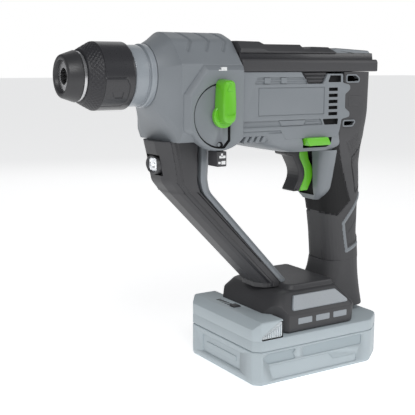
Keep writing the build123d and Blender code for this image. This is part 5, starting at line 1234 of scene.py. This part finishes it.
# %% Battery case
BACK, FRONT = lower_low[0], lower_high[0]
HALF = lower_high[1]
SPLIT = lower_high[2]
DECK = 32.0
BLOCK_TOP = upper_high[2]


def battery_outline(margin=0.0):
    """The case from above: cut corners at the back, small ones at the front."""
    corners = [(FRONT, -HALF + 5.0), (FRONT, HALF - 5.0), (FRONT - 5.0, HALF), (BACK + 17.0, HALF),
               (BACK + 2.0, HALF - 12.0), (BACK, HALF - 16.0), (BACK, -HALF + 16.0), (BACK + 2.0, -HALF + 12.0),
               (BACK + 17.0, -HALF), (FRONT - 5.0, -HALF)]
    loop = soften(corners, [3.0, 3.0, 3.0, 9.0, 6.0, 5.0, 5.0, 6.0, 9.0, 3.0], 8)
    return shrink(loop, margin) if margin else loop


def battery_shell(name, rows):
    """A closed stack of the case's outline, each row a height and a margin."""
    loops = [place(battery_outline(margin), z, "XY") for z, margin in rows]
    return make_mesh(name, np.concatenate(loops), ring_faces(len(loops), len(loops[0])))


tub = battery_shell("tub", [(0.0, 2.4), (0.6, 1.2), (2.2, 0.3), (4.0, 0.05), (SPLIT - 0.8, 0.05), (SPLIT - 0.2, 0.6)])
dress(tub, PALE)
deck = battery_shell("deck", [(SPLIT + 0.1, 0.6), (SPLIT + 0.7, 0.05), (DECK - 1.4, 0.05), (DECK - 0.5, 0.4),
                              (DECK, 1.3)])
dress(deck, PALE)
block_corners = [(FRONT - 0.1, -HALF + 5.0), (FRONT - 0.1, HALF - 5.0), (FRONT - 5.0, HALF - 0.1),
                 (FRONT - 23.0, HALF - 0.1), (FRONT - 23.0, -HALF + 0.1), (FRONT - 5.0, -HALF + 0.1)]
front_block = dress(slab("block", block_corners, [3.0, 3.0, 3.0, 2.0, 2.0, 3.0], DECK - 0.6, BLOCK_TOP - 0.2, 1.5,
                         plane="XY", base_edge=0), PALE)
slope = dress(slab("slope", [(FRONT + 2.0, BLOCK_TOP + 2.0), (FRONT + 2.0, BLOCK_TOP - 8.0),
                             (FRONT - 7.0, BLOCK_TOP + 2.0)], 0.1, -50.0, 50.0), PALE)
latch_low, latch_high = low_high("battery_latch_left")
# The latch and button seats are cut with the near-black finish: painted shade in the gaps round them.
seats = [dress(slab("seat", [(latch_low[0] - 0.1, latch_low[2]), (latch_high[0] + 0.1, latch_low[2]),
                             (latch_high[0] + 0.1, latch_low[2] + 2.8), (latch_low[0] + 2.6, latch_high[2] + 0.3),
                             (latch_low[0] - 0.1, latch_high[2] + 0.3)], 0.6, s * (HALF - 4.6), s * (HALF + 2)), SHADE_BLACK)
         for s in (1, -1)]
button_low, button_high = low_high("charge_button")
seats.append(dress(box("seat", (button_low[0] - 0.25, button_high[0] + 0.25), (button_low[1] - 0.25, button_high[1] + 0.25),
                       (DECK + 4, BLOCK_TOP + 3), 1.0), SHADE_BLACK))
carve(front_block, [slope] + seats)
round_edges(front_block, 0.5, limit=35)


def side_panel(name, corners, depth, material, radius=1.2):
    """A recess in both flanks with its own finish on the floor."""
    return [dress(slab(name, corners, radius, s * (HALF - depth), s * (HALF + 2.0)), material) for s in (1, -1)]


recess_low = side_panel("low", [(FRONT - 14.0, 3.4), (FRONT - 10.5, 14.0), (FRONT - 62.0, 14.0),
                                (FRONT - 67.0, 9.0), (FRONT - 88.0, 9.0), (FRONT - 88.0, 3.4)], 0.7, PALE)
carve(tub, recess_low)
carve(tub, side_panel("hex", [(FRONT - 10.0, 15.2), (FRONT - 5.0, 19.4), (FRONT - 10.0, SPLIT - 1.4),
                              (FRONT - 34.0, SPLIT - 1.4), (FRONT - 30.5, 19.4), (FRONT - 34.0, 15.2)], 0.7,
                      PALE_PANEL))
carve(tub, side_panel("label", [(FRONT - 39.0, 15.2), (FRONT - 39.0, SPLIT - 1.4), (FRONT - 92.0, SPLIT - 1.4),
                                (FRONT - 92.0, 15.2)], 0.5, PALE_PANEL))
front_rect = dress(slab("rect", [(-24.0, 7.0), (24.0, 7.0), (24.0, 20.0), (-24.0, 20.0)], 1.2, FRONT - 0.8, FRONT + 2,
                        plane="YZ"), PALE)
carve(tub, [front_rect])
front_bar = dress(slab("bar", [(-19.0, 11.6), (19.0, 11.6), (19.0, 15.4), (-19.0, 15.4)], 1.0, FRONT - 1.6,
                       FRONT - 0.15, 0.4, plane="YZ", base_edge=0), PALE)
settle(merge("battery_tub", [tub, front_bar]), "battery", ["battery_lower_case"])
marks = []
for y in (-20.0, -16.5, -13.0, -9.5, -6.0):
    marks.append(dress(slab("mark", [(button_low[0] + 1.6, y - 1.0), (button_high[0] - 0.4, y - 1.0),
                                     (button_high[0] - 0.4, y + 1.0), (button_low[0] + 1.6, y + 1.0)], 0.3,
                            BLOCK_TOP - 1.2, BLOCK_TOP - 0.12, 0.1, plane="XY", base_edge=0), GROOVE_SHADE_AND_MARK))
settle(merge("battery_deck", [deck, front_block] + marks), "battery", ["battery_upper_case"])

# %% [markdown]
# ## Latches and charge button
# A ribbed wedge is pressed in on each side to free the battery. The ribs are upright ridges cut along the slope.

# %% Latches and charge button
RIBS = 8


def latch(side):
    """The wedge's triangular body and a row of upright ribs whose tops follow its slope."""
    x0, x1 = latch_low[0] + 0.3, latch_high[0] - 0.4
    z0, z1 = latch_low[2] + 0.3, latch_high[2] - 0.2
    body = slab("wedge", [(x0, z0), (x1, z0), (x1, z0 + 2.0), (x0 + 2.0, z1), (x0, z1)], 1.0,
                side * (HALF - 4.2), side * (HALF - 1.2), 0.5, base_edge=0)
    pieces = [dress(body, PALE_LIGHT)]
    pitch = (x1 - x0 - 2.4) / RIBS
    for number in range(RIBS):
        x = x0 + 0.9 + number * pitch
        top = z0 + 1.4 + (z1 - z0 - 2.6) * (x1 - x - pitch * 0.55) / (x1 - x0 - 1.0)
        rib = slab("rib", [(x, z0 + 0.9), (x + pitch * 0.55, z0 + 0.9), (x + pitch * 0.55, top - 0.4), (x, top)],
                   0.3, side * (HALF - 2.0), side * (HALF - 0.05), 0.3, base_edge=0, steps=3)
        pieces.append(dress(rib, PALE_LIGHT))
    return merge("latch", pieces)


settle(merge("latch_wedge_left", [latch(1)]), "latch_left", ["battery_latch_left"])
settle(merge("latch_wedge_right", [latch(-1)]), "latch_right", ["battery_latch_right"])
cap = dress(box("cap", (button_low[0] + 0.1, button_high[0] - 0.1), (button_low[1] + 0.1, button_high[1] - 0.1),
                (button_low[2] + 0.1, button_high[2] - 0.1), 1.0, 0.5), BLACK)
settle(merge("charge_cap", [cap]), "charge_button", ["charge_button"])

# %% [markdown]
# ## Floor, light and camera
# A pale floor, four large soft lights and a camera that looks at the mode lever's side from in front. The
# lights are wide, because the plastic is matt and a small lamp would only leave dots on it.

# %% Floor, light and camera
def softbox(name, where, target, size, power, colour=(1, 1, 1)):
    """A square area light at a place in metres, turned to a target."""
    lamp = bpy.data.lights.new(name, "AREA")
    lamp.size = size
    lamp.energy = power
    lamp.color = colour
    obj = bpy.data.objects.new(name, lamp)
    obj.location = where
    obj.rotation_euler = (Vector(target) - Vector(where)).to_track_quat("-Z", "Y").to_euler()
    bpy.context.scene.collection.objects.link(obj)
    return obj


floor_mesh = bpy.data.meshes.new("floor")
FLOOR = 12.0
floor_mesh.from_pydata([(-FLOOR, -FLOOR, 0), (FLOOR, -FLOOR, 0), (FLOOR, FLOOR, 0), (-FLOOR, FLOOR, 0)], [],
                       [(0, 1, 2, 3)])
floor = bpy.data.objects.new("floor", floor_mesh)
floor.location.z = -0.0004
bpy.context.scene.collection.objects.link(floor)
dress(floor, finish("floor_pale", (0.9, 0.9, 0.9), 0.75, grain=0.0, drift=0.01))
floor_shader = next(n for n in floor.data.materials[0].node_tree.nodes if n.type == "BSDF_PRINCIPLED")
floor_shader.inputs["Emission Color"].default_value = (1, 1, 1, 1)
floor_shader.inputs["Emission Strength"].default_value = 0.62

world = bpy.data.worlds.new("studio")
world.use_nodes = True
sky = world.node_tree.nodes["Background"]
sky.inputs["Color"].default_value = (0.95, 0.97, 1.0, 1)
backdrop = world.node_tree.nodes.new("ShaderNodeBackground")
backdrop.inputs["Color"].default_value = (1, 1, 1, 1)
sky.inputs["Strength"].default_value = 0.2
ray = world.node_tree.nodes.new("ShaderNodeLightPath")
blend = world.node_tree.nodes.new("ShaderNodeMixShader")
world.node_tree.links.new(ray.outputs["Is Camera Ray"], blend.inputs["Fac"])
world.node_tree.links.new(sky.outputs["Background"], blend.inputs[1])
world.node_tree.links.new(backdrop.outputs["Background"], blend.inputs[2])
world.node_tree.links.new(blend.outputs["Shader"], world.node_tree.nodes["World Output"].inputs["Surface"])
bpy.context.scene.world = world
AIM = (0.03, 0.0, 0.12)
softbox("key", (0.45, 0.75, 0.85), AIM, 0.5, 4.6)
softbox("fill", (1.0, 0.25, 0.35), AIM, 0.6, 0.5)
softbox("rim", (-0.7, 0.55, 0.65), AIM, 0.5, 2.2)
softbox("back", (-0.3, -0.9, 0.7), AIM, 0.9, 1.4)
bpy.context.scene.view_settings.view_transform = "Standard"

YAW, PITCH, ROLL = 0.5567, 0.1679, 0.002
camera_data = bpy.data.cameras.new("camera")
camera_data.lens = 73.47
camera_data.sensor_width = 36.0
camera_data.clip_start = 0.01
camera = bpy.data.objects.new("camera", camera_data)
look = Vector((-sin(YAW) * cos(PITCH), -cos(YAW) * cos(PITCH), -sin(PITCH)))
right = Vector((-cos(YAW), sin(YAW), 0.0))
up = right.cross(look)
right, up = right * cos(ROLL) + up * sin(ROLL), up * cos(ROLL) - right * sin(ROLL)
turned = Matrix((right, up, -look)).transposed().to_4x4()
camera.matrix_world = Matrix.Translation((0.3691009, 0.4805067, 0.2131041)) @ turned
bpy.context.scene.collection.objects.link(camera)
bpy.context.scene.camera = camera
print("camera at", tuple(round(v, 3) for v in camera.location))
